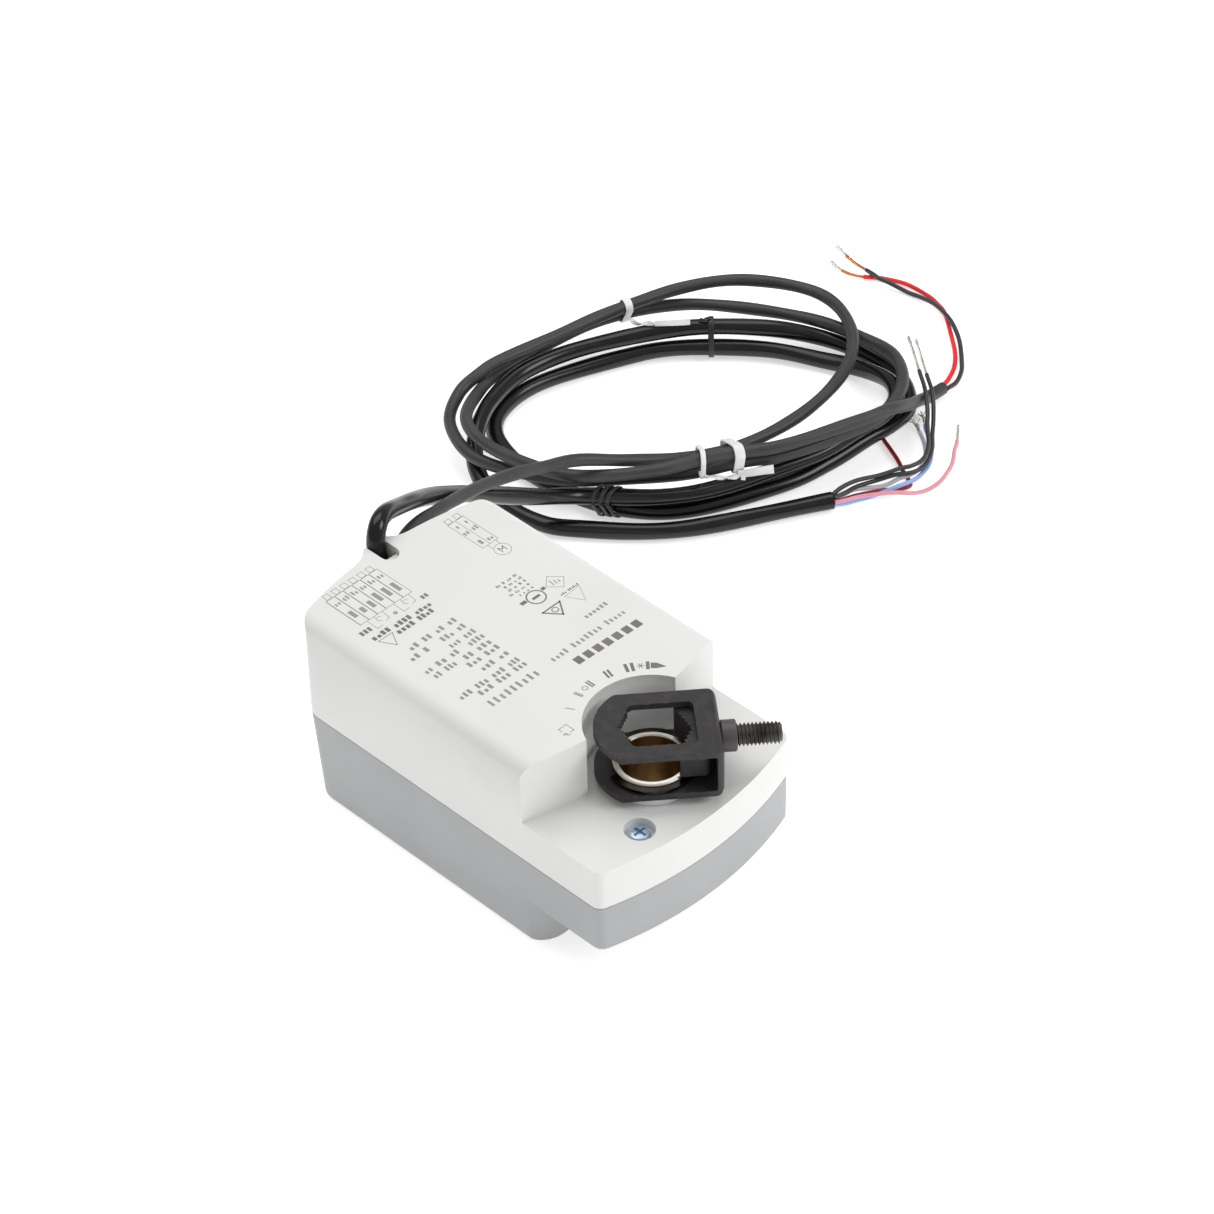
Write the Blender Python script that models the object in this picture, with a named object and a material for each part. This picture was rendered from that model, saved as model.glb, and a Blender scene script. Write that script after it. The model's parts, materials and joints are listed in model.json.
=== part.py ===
"""Motorised actuator head with a clamp for a damper shaft, as separate solids.

Millimetres. Origin: centre of the footprint, on the surface the head lies on.
+Z is up, along the output hub. +Y runs towards the cable end, -Y towards the
clamp end, and the long sides are at X = -35 and X = +35.
"""

import math

import bmesh
import bpy
from mathutils import Matrix, Vector

for old in list(bpy.data.objects):
    bpy.data.objects.remove(old, do_unlink=True)
bpy.context.scene.unit_settings.system = "METRIC"
bpy.context.scene.unit_settings.scale_length = 0.001

# ---------------------------------------------------------------- dimensions
HALF_W = 35.0
END_R = 108.4  # plan radius of both ends and of the step
CLAMP_APEX = -59.9
CABLE_APEX = 59.7
STEP_APEX = -33.15
Z_SHALLOW = 14.3  # underside below the hub
Z_SEAM = 28.7
Z_LOW = 41.4  # low deck
Z_TOP = 60.0  # high deck
WALL = 2.0
HUB = (0.0, -39.0)
RECESS_R = 17.5
BORE_R = 8.5
HUB_R = 10.1
CLAMP_ANGLE = math.radians(-40.5)  # the clamp screw's direction, seen from above
SCREW_Z = 53.3
SEAM_GAP = 0.05  # half the gap between cover and base
PRESS_HOLE_R = 10.25  # bore of the parts pressed on the hub
UPPER_HOLE_R = 10.95  # holes of the cover and the base around their bushes
LOWER_HOLE_R = 12.25
SELF_TAP_R = 1.7  # holes for the thread-forming screws
SWITCH_CORD_D = 5.0
POWER_CORD_D = 3.7


# ------------------------------------------------------------------- helpers
def keep(name, bm):
    bmesh.ops.recalc_face_normals(bm, faces=bm.faces)
    mesh = bpy.data.meshes.new(name)
    bm.to_mesh(mesh)
    bm.free()
    obj = bpy.data.objects.new(name, mesh)
    bpy.context.collection.objects.link(obj)
    return obj


def loft(name, rings):
    """A closed body through rings of equally many points, with flat ends."""
    bm = bmesh.new()
    made = [[bm.verts.new(p) for p in ring] for ring in rings]
    bm.faces.new(made[0])
    bm.faces.new(made[-1])
    n = len(made[0])
    for low, high in zip(made, made[1:]):
        for i in range(n):
            bm.faces.new((low[i], low[(i + 1) % n], high[(i + 1) % n], high[i]))
    return keep(name, bm)


def prism(name, points, z0, z1):
    return loft(name, [[(x, y, z0) for x, y in points], [(x, y, z1) for x, y in points]])


def box(name, lo, hi):
    (x0, y0, z0), (x1, y1, z1) = lo, hi
    return prism(name, [(x0, y0), (x1, y0), (x1, y1), (x0, y1)], z0, z1)


def circle(radius, count, centre=(0.0, 0.0), turn=0.0):
    return [
        (
            centre[0] + radius * math.cos(turn + 2 * math.pi * i / count),
            centre[1] + radius * math.sin(turn + 2 * math.pi * i / count),
        )
        for i in range(count)
    ]


def rod(name, centre, radius, z0, z1, count=32):
    return prism(name, circle(radius, count, centre), z0, z1)


def turned(name, profile, count=48, centre=(0.0, 0.0), closed=False):
    """Turns (radius, z) points about a vertical axis. Radius 0 is a pole; a
    closed profile makes a ring with a hole through it."""
    bm = bmesh.new()
    rings = []
    for r, z in profile:
        if r == 0:
            rings.append([bm.verts.new((centre[0], centre[1], z))])
        else:
            rings.append([bm.verts.new((x, y, z)) for x, y in circle(r, count, centre)])
    pairs = list(zip(rings, rings[1:]))
    if closed:
        pairs.append((rings[-1], rings[0]))
    for a, b in pairs:
        for i in range(count):
            j = (i + 1) % count
            if len(a) == 1:
                bm.faces.new((a[0], b[j], b[i]))
            elif len(b) == 1:
                bm.faces.new((a[i], a[j], b[0]))
            else:
                bm.faces.new((a[i], a[j], b[j], b[i]))
    return keep(name, bm)


def move(obj, matrix):
    obj.data.transform(matrix)
    if matrix.determinant() < 0:
        obj.data.flip_normals()
    return obj


def along(obj, centre, direction):
    """Lays a body built about +Z with its axis along a direction."""
    turn = Vector((0, 0, 1)).rotation_difference(Vector(direction)).to_matrix().to_4x4()
    return move(obj, Matrix.Translation(centre) @ turn)


def in_clamp(obj):
    """From the clamp's own axes (screw along +X, hub at 0, 0) to the head's."""
    return move(obj, Matrix.Translation((HUB[0], HUB[1], 0)) @ Matrix.Rotation(CLAMP_ANGLE, 4, "Z"))


def combine(target, other, operation):
    modifier = target.modifiers.new("combine", "BOOLEAN")
    modifier.operation = operation
    modifier.solver = "EXACT"
    modifier.object = other
    bpy.context.view_layer.update()
    graph = bpy.context.evaluated_depsgraph_get()
    mesh = bpy.data.meshes.new_from_object(target.evaluated_get(graph))
    target.modifiers.clear()
    old_mesh, target.data = target.data, mesh
    mesh.name = target.name
    bpy.data.meshes.remove(old_mesh)
    bpy.data.objects.remove(other, do_unlink=True)
    return target


def cut(target, *others):
    for other in others:
        combine(target, other, "DIFFERENCE")
    return target


def join(target, *others):
    for other in others:
        combine(target, other, "UNION")
    return target


def tidy(obj, distance=2e-3):
    bm = bmesh.new()
    bm.from_mesh(obj.data)
    bmesh.ops.remove_doubles(bm, verts=bm.verts, dist=distance)
    bmesh.ops.dissolve_degenerate(bm, edges=bm.edges, dist=distance)
    bm.to_mesh(obj.data)
    bm.free()
    return obj


def smooth_route(route, step):
    """A Catmull-Rom curve through the route, as points about a step apart."""
    p = [Vector(q) for q in route]
    p = [2 * p[0] - p[1]] + p + [2 * p[-1] - p[-2]]
    fine = []
    for a, b, c, d in zip(p, p[1:], p[2:], p[3:]):
        for k in range(24):
            t = k / 24
            fine.append(
                0.5
                * (
                    2 * b
                    + (c - a) * t
                    + (2 * a - 5 * b + 4 * c - d) * t * t
                    + (3 * b - a - 3 * c + d) * t**3
                )
            )
    fine.append(p[-2])
    length = sum((q - r).length for q, r in zip(fine, fine[1:]))
    count = max(3, round(length / step))
    points, gone, want = [fine[0]], 0.0, length / count
    for q, r in zip(fine, fine[1:]):
        gap = (r - q).length
        while gone + gap >= want - 1e-9 and len(points) < count:
            points.append(q + (r - q) * ((want - gone) / gap))
            want += length / count
        gone += gap
    points.append(fine[-1])
    return points


def cord(name, route, diameter, step, sides=2, bare=0.0, bend=0):
    """A tube along a route, with points a step apart, or a third of that in its
    first bend. The last stretch, bare long, is the thin conductor."""
    points = smooth_route(route, step / 3)
    points = points[:bend] + points[bend:-2:3] + points[-1:]
    data = bpy.data.curves.new(name, "CURVE")
    data.dimensions = "3D"
    spline = data.splines.new("POLY")
    spline.points.add(len(points) - 1)
    left = sum((q - r).length for q, r in zip(points, points[1:]))
    for i, (target, p) in enumerate(zip(spline.points, points)):
        left -= (p - points[max(i - 1, 0)]).length
        target.co = (*p, 1)
        target.radius = 1.0 if left >= bare - 1e-6 else 0.6
    data.bevel_depth = diameter / 2
    data.bevel_resolution = sides
    data.use_fill_caps = True
    obj = bpy.data.objects.new(name, data)
    bpy.context.collection.objects.link(obj)
    return obj


# ------------------------------------------------------------ housing outline
NOSE_X = -0.6
SLOT = (-3.3, 2.1)  # sides of the cable slot
SLOT_Y = 53.6  # its closed end
SLOT_R = 2.7


def arc(centre, radius, a0, a1, count):
    return [
        (
            centre[0] + radius * math.cos(a0 + (a1 - a0) * i / count),
            centre[1] + radius * math.sin(a0 + (a1 - a0) * i / count),
        )
        for i in range(count + 1)
    ]


def outline(inset=0.0, half=HALF_W, cable=CABLE_APEX, nose=False):
    """Plan of the housing, anticlockwise from the right of the clamp end."""
    clamp_c = (0.0, CLAMP_APEX + END_R)
    cable_c = (0.0, cable - END_R)
    rc1, rc2 = 3.0, 6.0
    f1 = (half - rc1, clamp_c[1] - math.sqrt((END_R - rc1) ** 2 - (half - rc1) ** 2))
    f2 = (half - rc2, cable_c[1] + math.sqrt((END_R - rc2) ** 2 - (half - rc2) ** 2))
    a1 = math.atan2(f1[1] - clamp_c[1], f1[0] - clamp_c[0])
    a2 = math.atan2(f2[1] - cable_c[1], f2[0] - cable_c[0])
    right_clamp = arc(f1, rc1 - inset, a1, 0.0, 5)
    right_cable = arc(f2, rc2 - inset, 0.0, a2, 7)
    end = arc(cable_c, END_R - inset, a2, math.pi - a2, 20)[1:-1]
    if nose:
        # a small tongue around the cable slot, with hollow flares into the end
        lift = [(9.5, 0.0), (8.0, 0.15), (6.7, 0.6), (5.6, 1.2), (4.7, 1.85), (4.1, 2.4), (3.6, 2.8)]
        on_arc = [cable_c[1] + math.sqrt(END_R**2 - (NOSE_X + d) ** 2) for d, _ in lift]
        tongue = [(NOSE_X + d, y + up) for (d, up), y in zip(lift, on_arc)]
        tongue += [(2 * NOSE_X - x, y) for x, y in reversed(tongue)]
        end = [p for p in end if p[0] > 10] + tongue + [p for p in end if p[0] < -11]
    left_cable = [(-x, y) for x, y in reversed(right_cable)]
    left_clamp = [(-x, y) for x, y in reversed(right_clamp)]
    close = arc(clamp_c, END_R - inset, math.pi - a1, 2 * math.pi + a1, 24)[1:-1]
    return right_clamp + right_cable + end + left_cable + left_clamp + close


def slot_plan(gap, end_y):
    """Plan of the cable slot, smaller by a gap all round, as far as end_y."""
    closed_end = arc((NOSE_X, SLOT_Y + SLOT_R), SLOT_R - gap, math.pi, 2 * math.pi, 10)
    return [(SLOT[1] - gap, end_y), (SLOT[0] + gap, end_y)] + closed_end


def step_region(shift=0.0):
    """Everything in front of the step between the two decks."""
    edge = [
        (x, STEP_APEX + shift + END_R - math.sqrt(END_R**2 - x * x))
        for x in [-40 + 2.5 * i for i in range(33)]
    ]
    return [(-40, -80), (40, -80)] + edge[::-1]


def front_region(y, radius, centre_x=26.9):
    """Everything in front of the deep section, with its rounded corners."""
    right = arc((centre_x, y + radius), radius, 0.0, -math.pi / 2, 6)
    return (
        [(-45, -80), (45, -80), (45, y + radius)]
        + right
        + [(-x, v) for x, v in reversed(right)]
        + [(-45, y + radius)]
    )


# --------------------------------------------------------------------- cover
cover = prism("cover", outline(nose=True), Z_SEAM + SEAM_GAP, Z_TOP)
cut(cover, prism("tool", step_region(), Z_LOW, 70))
cut(cover, rod("tool", HUB, RECESS_R, Z_LOW, 70, 72))
SIDE_R = 5.66  # rounding of the long top edges, which meets the sides at a crease
for side in (1, -1):
    edge = arc((29.9, Z_TOP - SIDE_R), SIDE_R, math.radians(25.7), math.pi / 2, 6)
    profile = [(side * x, z) for x, z in edge + [(29.9, 62), (37, 62), (37, 56.0)]]
    cut(cover, loft("tool", [[(x, y, z) for x, z in profile] for y in (-60, 80)]))
cavity = prism("tool", outline(2.1), 20, 57.7)
cut(cavity, prism("tool2", step_region(WALL), Z_LOW - WALL, 70))
cut(cavity, rod("tool2", HUB, RECESS_R + WALL, Z_LOW - WALL, 70, 72))
cut(cover, cavity)
COVER_SCREW = (-16.2, -50.4)
BASE_SCREWS = {"base_screw_left": (-27.0, 46.0), "base_screw_right": (27.0, 46.0)}
join(cover, rod("tool", COVER_SCREW, 6.0, 34.0, Z_LOW - 0.5, 28))
for centre in BASE_SCREWS.values():
    join(cover, rod("tool", centre, 3.8, 29.2, 58.5, 20))
    cut(cover, rod("tool", centre, SELF_TAP_R, 20.0, 42.0, 16))
cut(cover, rod("tool", COVER_SCREW, 4.1, Z_LOW - 3.0, 45, 40))
cut(cover, rod("tool", COVER_SCREW, 1.8, 30, 45, 20))
cut(cover, rod("tool", HUB, UPPER_HOLE_R, 30, 45, 64))
cut(cover, prism("tool", slot_plan(0.0, 70), 41.0, 70))
POWER_EXIT = (9.5, 59.0, 47.0)
cut(cover, along(rod("tool", (0, 0), 3.0, -8, 8, 32), POWER_EXIT, (0, 1, 0)))
tidy(cover)


# ---------------------------------------------------------------------- base
def base_ring(z, inset):
    lean = 1 - z / Z_SEAM
    return [(x, y, z) for x, y in outline(inset, HALF_W - 0.55 * lean, CABLE_APEX - 2.5 * lean)]


base = loft(
    "base",
    [base_ring(0.0, 1.0), base_ring(0.3, 0.35), base_ring(1.0, 0.0), base_ring(Z_SEAM - SEAM_GAP, 0.0)],
)
cut(base, prism("tool", front_region(-32.8, 8.0), -5, Z_SHALLOW))
cavity = loft("tool", [base_ring(WALL, WALL + 0.2), base_ring(32.0, WALL + 0.2)])
cut(cavity, prism("tool2", front_region(-32.8 + WALL, 6.0), -5, Z_SHALLOW + WALL))
cut(base, cavity)
for centre in BASE_SCREWS.values():
    join(base, rod("tool", centre, 4.4, 1.0, 28.0, 20))
    cut(base, rod("tool", centre, 3.4, -5, 4.0, 24), rod("tool", centre, SELF_TAP_R, -5, 40, 16))
join(base, rod("tool", COVER_SCREW, 3.4, 15.5, 33.5, 20))
cut(base, rod("tool", COVER_SCREW, 1.6, 21.0, 40, 16))
cut(base, rod("tool", HUB, LOWER_HOLE_R, 0, 18.0, 64))
join(base, box("tool", (-4.8, 43.0, 1.0), (4.8, 56.5, 7.0)))
cut(base, box("tool", (-2.75, 45.0, -5), (2.75, 70, 5.0)))
tidy(base)

# ------------------------------------------------------------- hub and bushes
turned(
    "upper_bush",
    [(10.2, 38.0), (10.8, 38.0), (10.8, 41.5), (11.3, 41.5), (11.3, 43.5), (11.1, 43.7), (10.2, 43.7)],
    64,
    HUB,
    closed=True,
)
turned(
    "lower_bush",
    [(10.2, 14.0), (12.1, 14.0), (12.1, 16.4), (13.6, 16.4), (13.6, 17.8), (10.2, 17.8)],
    48,
    HUB,
    closed=True,
)
turned(
    "output_hub",
    [(BORE_R, 13.4), (HUB_R, 13.4), (HUB_R, 47.1), (9.7, 47.5), (8.8, 47.5), (BORE_R, 47.2)],
    64,
    HUB,
    closed=True,
)


def gear_points(teeth, module, tooth_at, addendum=0.65, backlash=0.16, keep_teeth=None, rim=None):
    """Outline with involute flanks. tooth_at is the angle of one tooth, degrees."""
    r = teeth * module / 2
    rb = r * math.cos(math.radians(20))
    ra, rf = r + addendum * module, r - 1.15 * module

    def inv(radius):
        alpha = math.acos(min(1.0, rb / radius))
        return math.tan(alpha) - alpha

    half = (math.pi * module / 2 - backlash) / (2 * r) + inv(r)
    radii = [max(rb, rf), r, ra]
    flank = [(q, half - inv(q)) for q in radii]
    if rf < rb:
        flank = [(rf, flank[0][1])] + flank
    points = []
    for k in keep_teeth if keep_teeth is not None else range(teeth):
        a = math.radians(tooth_at) + 2 * math.pi * k / teeth
        points += [(q * math.cos(a - t), q * math.sin(a - t)) for q, t in flank]
        points += [(q * math.cos(a + t), q * math.sin(a + t)) for q, t in reversed(flank)]
    if rim:
        last = math.atan2(points[-1][1], points[-1][0]) % (2 * math.pi)
        first = math.atan2(points[0][1], points[0][0]) + 2 * math.pi
        points += arc((0, 0), rim, last + 0.12, first - 0.12, 30)
    return points


def at(points, centre):
    return [(x + centre[0], y + centre[1]) for x, y in points]


IDLER_1 = (0.0, -5.0)
IDLER_2 = (14.85, 9.85)
MOTOR = (6.85, 23.7)
output_gear = prism(
    "output_gear",
    at(gear_points(56, 1.0, 90, keep_teeth=range(-1, 17), rim=14.5), HUB),
    20.0,
    24.0,
)
cut(output_gear, rod("tool", HUB, PRESS_HOLE_R, 10, 30, 48))


def lobed(radius, lobe, middle, width):
    points = []
    for i in range(60):
        a = 2 * math.pi * i / 60
        off = abs((math.degrees(a) - middle + 180) % 360 - 180)
        rise = max(0.0, min(1.0, (width - off) / 6))
        points.append(((radius + lobe * rise) * math.cos(a), (radius + lobe * rise) * math.sin(a)))
    return points


for name, middle, z in (("switch_cam_5", 250, 27.2), ("switch_cam_85", 20, 30.6)):
    cam = prism(name, at(lobed(13.0, 2.2, middle, 24), HUB), z, z + 2.4)
    cut(cam, rod("tool", HUB, PRESS_HOLE_R, 10, 40, 48))

# ---------------------------------------------------------------- gear train
turned(
    "spring_arbor",
    [(0, 3.8), (3.9, 3.8), (3.9, 13.4), (2.4, 13.4), (2.4, 19.2), (0, 19.2)],
    24,
    IDLER_1,
)
idler_1 = prism("idler_1", at(gear_points(30, 1.0, 45), IDLER_1), 25.0, 28.4)
join(
    idler_1,
    prism("tool", at(gear_points(12, 1.0, 285), IDLER_1), 19.4, 25.6),
    rod("tool", IDLER_1, 3.5, 27.0, 36.8, 20),
    rod("tool", IDLER_1, 1.5, 36.0, 38.4, 20),
)
idler_2 = prism("idler_2", at(gear_points(30, 0.8, 120), IDLER_2), 29.6, 32.4)
join(
    idler_2,
    prism("tool", at(gear_points(12, 1.0, 240), IDLER_2), 24.9, 30.0),
    rod("tool", IDLER_2, 3.0, 19.0, 36.8, 20),
    rod("tool", IDLER_2, 1.5, 17.4, 38.4, 20),
)
motor_pinion = prism("motor_pinion", at(gear_points(10, 0.8, 318), MOTOR), 29.2, 32.8)
join(motor_pinion, rod("tool", MOTOR, 1.2, 31.0, 44.0, 16))
motor_body = rod("motor_body", MOTOR, 17.5, 39.4, 56.6, 36)
cut(motor_body, rod("tool", MOTOR, 1.35, 38, 45.5, 16))

plate = [(-31, 29), (-31, -24), (-22, -26.5), (22, -26.5), (31, -24), (31, 29)]
plate_low = prism("gear_plate_lower", plate[::-1], 17.2, 18.4)
cut(
    plate_low,
    rod("tool", IDLER_1, 2.5, 10, 20, 24),
    rod("tool", IDLER_2, 1.58, 10, 20, 20),
)
plate_high = prism("gear_plate_upper", plate[::-1], 37.4, 38.6)
for each in (plate_low, plate_high):
    cut(each, rod("tool", HUB, 15.5, 0, 60, 48))
cut(
    plate_high,
    rod("tool", IDLER_1, 1.58, 30, 40, 20),
    rod("tool", IDLER_2, 1.58, 30, 40, 20),
    rod("tool", MOTOR, 4.0, 30, 40, 24),
)
for number, centre in enumerate([(-28, 25), (-28, -1), (28.3, -1)], 1):
    rod(f"plate_pillar_{number}", centre, 2.2, 18.45, 37.35, 16)

turned(
    "spring_barrel",
    [(0, 2.4), (23.6, 2.4), (23.6, 13.6), (22.4, 13.6), (22.4, 3.4), (0, 3.4)],
    48,
    IDLER_1,
)
SPRING_TURNS = 5
SPRING_POINTS = 120
inner, outer = [], []
for i in range(SPRING_POINTS + 1):
    t = i / SPRING_POINTS
    a = 2 * math.pi * SPRING_TURNS * t
    r = 4.5 + 17.2 * t**0.8
    for path, radius in ((inner, r - 0.25), (outer, r + 0.25)):
        path.append((IDLER_1[0] + radius * math.cos(a), IDLER_1[1] + radius * math.sin(a)))
prism("mainspring", inner + outer[::-1], 4.0, 12.8)

# --------------------------------------------------------- board and switches
box("circuit_board", (-21.5, 31.0, 22.0), (21.5, 53.0, 23.6))
rod("capacitor", (-11.0, 41.0), 4.0, 23.75, 34.0, 20)
for name, side in (("5", -1), ("85", 1)):
    x0, x1 = sorted((side * 25.4, side * 31.2))
    box(f"switch_body_{name}", (x0, -47.0, 26.6), (x1, -34.2, 33.2))
    z = 27.4 if name == "5" else 30.8
    # a strip with a bent tip that rides on the cam
    lever = [(24.2, -34.6), (23.7, -34.6), (23.5, -44.0)]
    lever += [(18.6, -46.0), (18.7, -46.6), (24.0, -45.0)]
    prism(f"switch_lever_{name}", [(side * x, y) for x, y in lever], z, z + 2.0)

# --------------------------------------------------------------- shaft clamp
NOSE_R = 14.7  # round end of the bracket, about the hub
CLAMP_HALF = 12.0
WEB_OUT = 17.4  # outer face of the web that carries the nut
SHEET = 1.8
FOLD_R = 2.2
Z_BR0 = 44.0
Z_BR1 = 58.9
TEETH = 5  # on each side of the notch and of the jaw
TOOTH = 0.75


def fold():
    """The folded strip seen from the side, as (along, height)."""
    x, t, r = WEB_OUT, SHEET, FOLD_R
    outer_path = [(-20, Z_BR0)] + arc((x - r, Z_BR0 + r), r, -math.pi / 2, 0, 4)
    outer_path += arc((x - r, Z_BR1 - r), r, 0, math.pi / 2, 4) + [(-20, Z_BR1)]
    q = 0.7
    inner_path = [(-20, Z_BR1 - t)] + arc((x - t - q, Z_BR1 - t - q), q, math.pi / 2, 0, 3)
    inner_path += arc((x - t - q, Z_BR0 + t + q), q, 0, -math.pi / 2, 3) + [(-20, Z_BR0 + t)]
    return outer_path + inner_path


def toothed(p, q, count, depth):
    """Small straight teeth along a line, both ends included."""
    points = []
    for i in range(count):
        for t, d in ((i / count, 0.0), ((i + 0.5) / count, depth)):
            points.append((p[0] + (q[0] - p[0]) * t + d, p[1] + (q[1] - p[1]) * t))
    return points + [q]


strip = fold()
clamp_bracket = loft("clamp_bracket", [[(u, v, z) for u, z in strip] for v in (-CLAMP_HALF, CLAMP_HALF)])
a_side = math.asin(CLAMP_HALF / NOSE_R)
CORNER_R = 2.0
corner_u = WEB_OUT - CORNER_R + 0.001  # just past the web, so that no sliver is left
corner_v = CLAMP_HALF - CORNER_R
plan = (
    arc((0, 0), NOSE_R, math.pi - a_side, math.pi + a_side, 16)
    + arc((corner_u, -corner_v), CORNER_R, -math.pi / 2, 0, 4)
    + arc((corner_u, corner_v), CORNER_R, 0, math.pi / 2, 4)
)
combine(clamp_bracket, prism("tool", plan, 40, 62), "INTERSECT")
window = (
    [(11.2, -6.6), (11.2, 6.6), (10.2, 7.7), (-4.2, 7.7), (-5.5, 6.9)]
    + toothed((-6.1, 5.4), (-8.7, 0.0), TEETH, TOOTH)
    + toothed((-8.7, 0.0), (-6.1, -5.4), TEETH, TOOTH)[1:]
    + [(-5.5, -6.9), (-4.2, -7.7), (10.2, -7.7)]
)
cut(clamp_bracket, prism("tool", window, 52, 62))
cut(clamp_bracket, rod("tool", (0, 0), HUB_R + 0.08, 42, 48, 64))
cut(clamp_bracket, along(rod("tool", (0, 0), 3.5, -3, 3, 28), (16.5, 0, SCREW_Z), (1, 0, 0)))
in_clamp(tidy(clamp_bracket))

nut = turned(
    "clamp_nut",
    [(3.15, 0), (3.9, 0), (4.15, 0.25), (4.15, 3.7), (3.85, 4.0), (3.15, 4.0)],
    32,
    closed=True,
)
in_clamp(along(nut, (WEB_OUT + 0.06, 0, SCREW_Z), (1, 0, 0)))

jaw_plan = (
    [(6.5, 8.3), (6.3, 7.6)]
    + toothed((6.5, 7.0), (9.8, 0.0), TEETH, TOOTH)
    + toothed((9.8, 0.0), (6.5, -7.0), TEETH, TOOTH)[1:]
    + [(6.3, -7.6), (6.5, -8.3), (13.0, -8.3), (14.0, -7.6), (14.4, -6.4)]
    + [(14.4, 6.4), (14.0, 7.6), (13.0, 8.3)]
)
clamp_jaw = prism("clamp_jaw", jaw_plan, 47.9, 56.8)
cut(clamp_jaw, along(rod("tool", (0, 0), 2.5, -2.5, 3.5, 20), (13.6, 0, SCREW_Z), (1, 0, 0)))
in_clamp(tidy(clamp_jaw))

# an M6 x 1 set screw: plain tip in the jaw, ring-shaped threads, hexagon socket
CREST_R = 2.95
ROOT_R = 2.45
TIP_R = 2.2
PITCH = 1.0
thread = [(0, 11.4), (TIP_R, 11.4), (TIP_R, 15.0), (ROOT_R, 15.1)]
for turn in range(17):
    thread += [(CREST_R, 15.5 + PITCH * turn), (ROOT_R, 16.0 + PITCH * turn)]
thread += [(CREST_R, 32.4), (2.5, 33.0), (0, 33.0)]
clamp_screw = turned("clamp_screw", thread, 20)
cut(clamp_screw, rod("tool", (0, 0), 1.75, 30.2, 40, 6))
in_clamp(along(clamp_screw, (0, 0, SCREW_Z), (1, 0, 0)))

opening = math.radians(24)  # half the gap in the ring
start, stop = math.pi + opening, 3 * math.pi - opening
ring = arc((0, 0), 11.9, start, stop, 44) + arc((0, 0), 10.2, stop, start, 44)
in_clamp(prism("retaining_ring", ring, 45.95, 46.85))

# -------------------------------------------------------------------- screws
CROSS_LONG = 1.9  # half sizes of the cross recess
CROSS_WIDE = 0.35


def cross_recess(screw, centre, z0, z1):
    x, y = centre
    for dx, dy in ((CROSS_LONG, CROSS_WIDE), (CROSS_WIDE, CROSS_LONG)):
        cut(screw, box("tool", (x - dx, y - dy, z0), (x + dx, y + dy, z1)))
    return screw


HEAD_UP = [(0, 23.0), (1.0, 23.0), (1.4, 24.5), (1.4, 38.5), (2.9, 38.5), (2.9, 39.6)]
HEAD_UP += [(2.5, 40.3), (1.6, 40.7), (0, 40.8)]
HEAD_DOWN = [(0, 1.2), (2.9, 1.4), (2.9, 3.9), (1.4, 3.9), (1.4, 36.0), (1.0, 38.0), (0, 38.0)]
tidy(cross_recess(turned("cover_screw", HEAD_UP, 28, COVER_SCREW), COVER_SCREW, 39.4, 45))
for name, centre in BASE_SCREWS.items():
    tidy(cross_recess(turned(name, HEAD_DOWN, 20, centre), centre, 0, 2.6))

# ------------------------------------------------------------ cable grommets
GROMMET_GAP = 0.15
grommet = prism("switch_cord_grommet", slot_plan(GROMMET_GAP, 60.5), 41.2, 48.8)
# the grommet rises behind the cord and fills the closed end of the slot
join(grommet, prism("tool", slot_plan(GROMMET_GAP, 56.4), 48.0, 58.3))
grommet = turned(
    "power_cord_grommet",
    [(2.05, -3.8), (3.8, -3.8), (3.8, -2.7), (2.9, -2.7), (2.9, 1.0), (2.6, 1.3), (2.05, 1.3)],
    28,
    closed=True,
)
along(grommet, POWER_EXIT, (0, 1, 0))


# ------------------------------------------------------------------- cords
# The switch cord leaves upwards through the slot, and both cords drop to the
# surface and lie there as a loose coil of about three turns.
SWITCH_ROUTE = [
    (-0.6, 59.2, 49.4), (-0.6, 59.8, 52.6), (-0.6, 60.7, 56), (-0.6, 61.5, 59), (-0.1, 61.9, 61.7),
    (1.3, 62.7, 63.7), (3.7, 64.1, 64.4), (8, 66.4, 63), (15, 69.6, 58.9), (23.2, 72.6, 54.4),
    (32.5, 76.3, 48.1), (41.2, 79.3, 41.7),
    (52.5, 81.7, 33.8), (76, 83, 18), (87.5, 82, 11.8), (96, 77.5, 9.3), (109, 64, 8.7), (125, 55, 8),
    (152, 45.5, 8.6), (170, 43, 9.6), (180, 42.6, 9), (189.5, 46, 8.2), (194.5, 53, 7.6),
    (196.5, 65, 4.5), (193.5, 78, 2.7), (184.5, 94.5, 3.3), (168, 113, 3.3), (153, 123, 2.6),
    (128.5, 132, 2.6), (112, 131.5, 2.6), (101.5, 124, 2.6), (96.5, 108.5, 2.6), (97, 92, 2.8),
    (102, 73.5, 3.5), (114.5, 60, 2.9), (141.5, 48, 2.6), (159, 44.5, 3), (173, 42.7, 4.2),
    (184, 42.5, 3.6), (194, 45.2, 2.6), (202, 54.5, 2.6), (204.5, 69.5, 2.6), (199.5, 84, 4.5),
    (187, 97, 8.6), (169.5, 114.5, 8.9), (145.5, 129, 8), (124.5, 134.5, 8), (107.5, 131.5, 8),
    (94, 124, 7.5), (86, 116, 4.2), (81.5, 104, 2.7), (82, 88, 2.6), (88, 76.5, 2.6), (108, 55, 2.6),
    (147, 32.5, 2.6),
]
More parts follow.
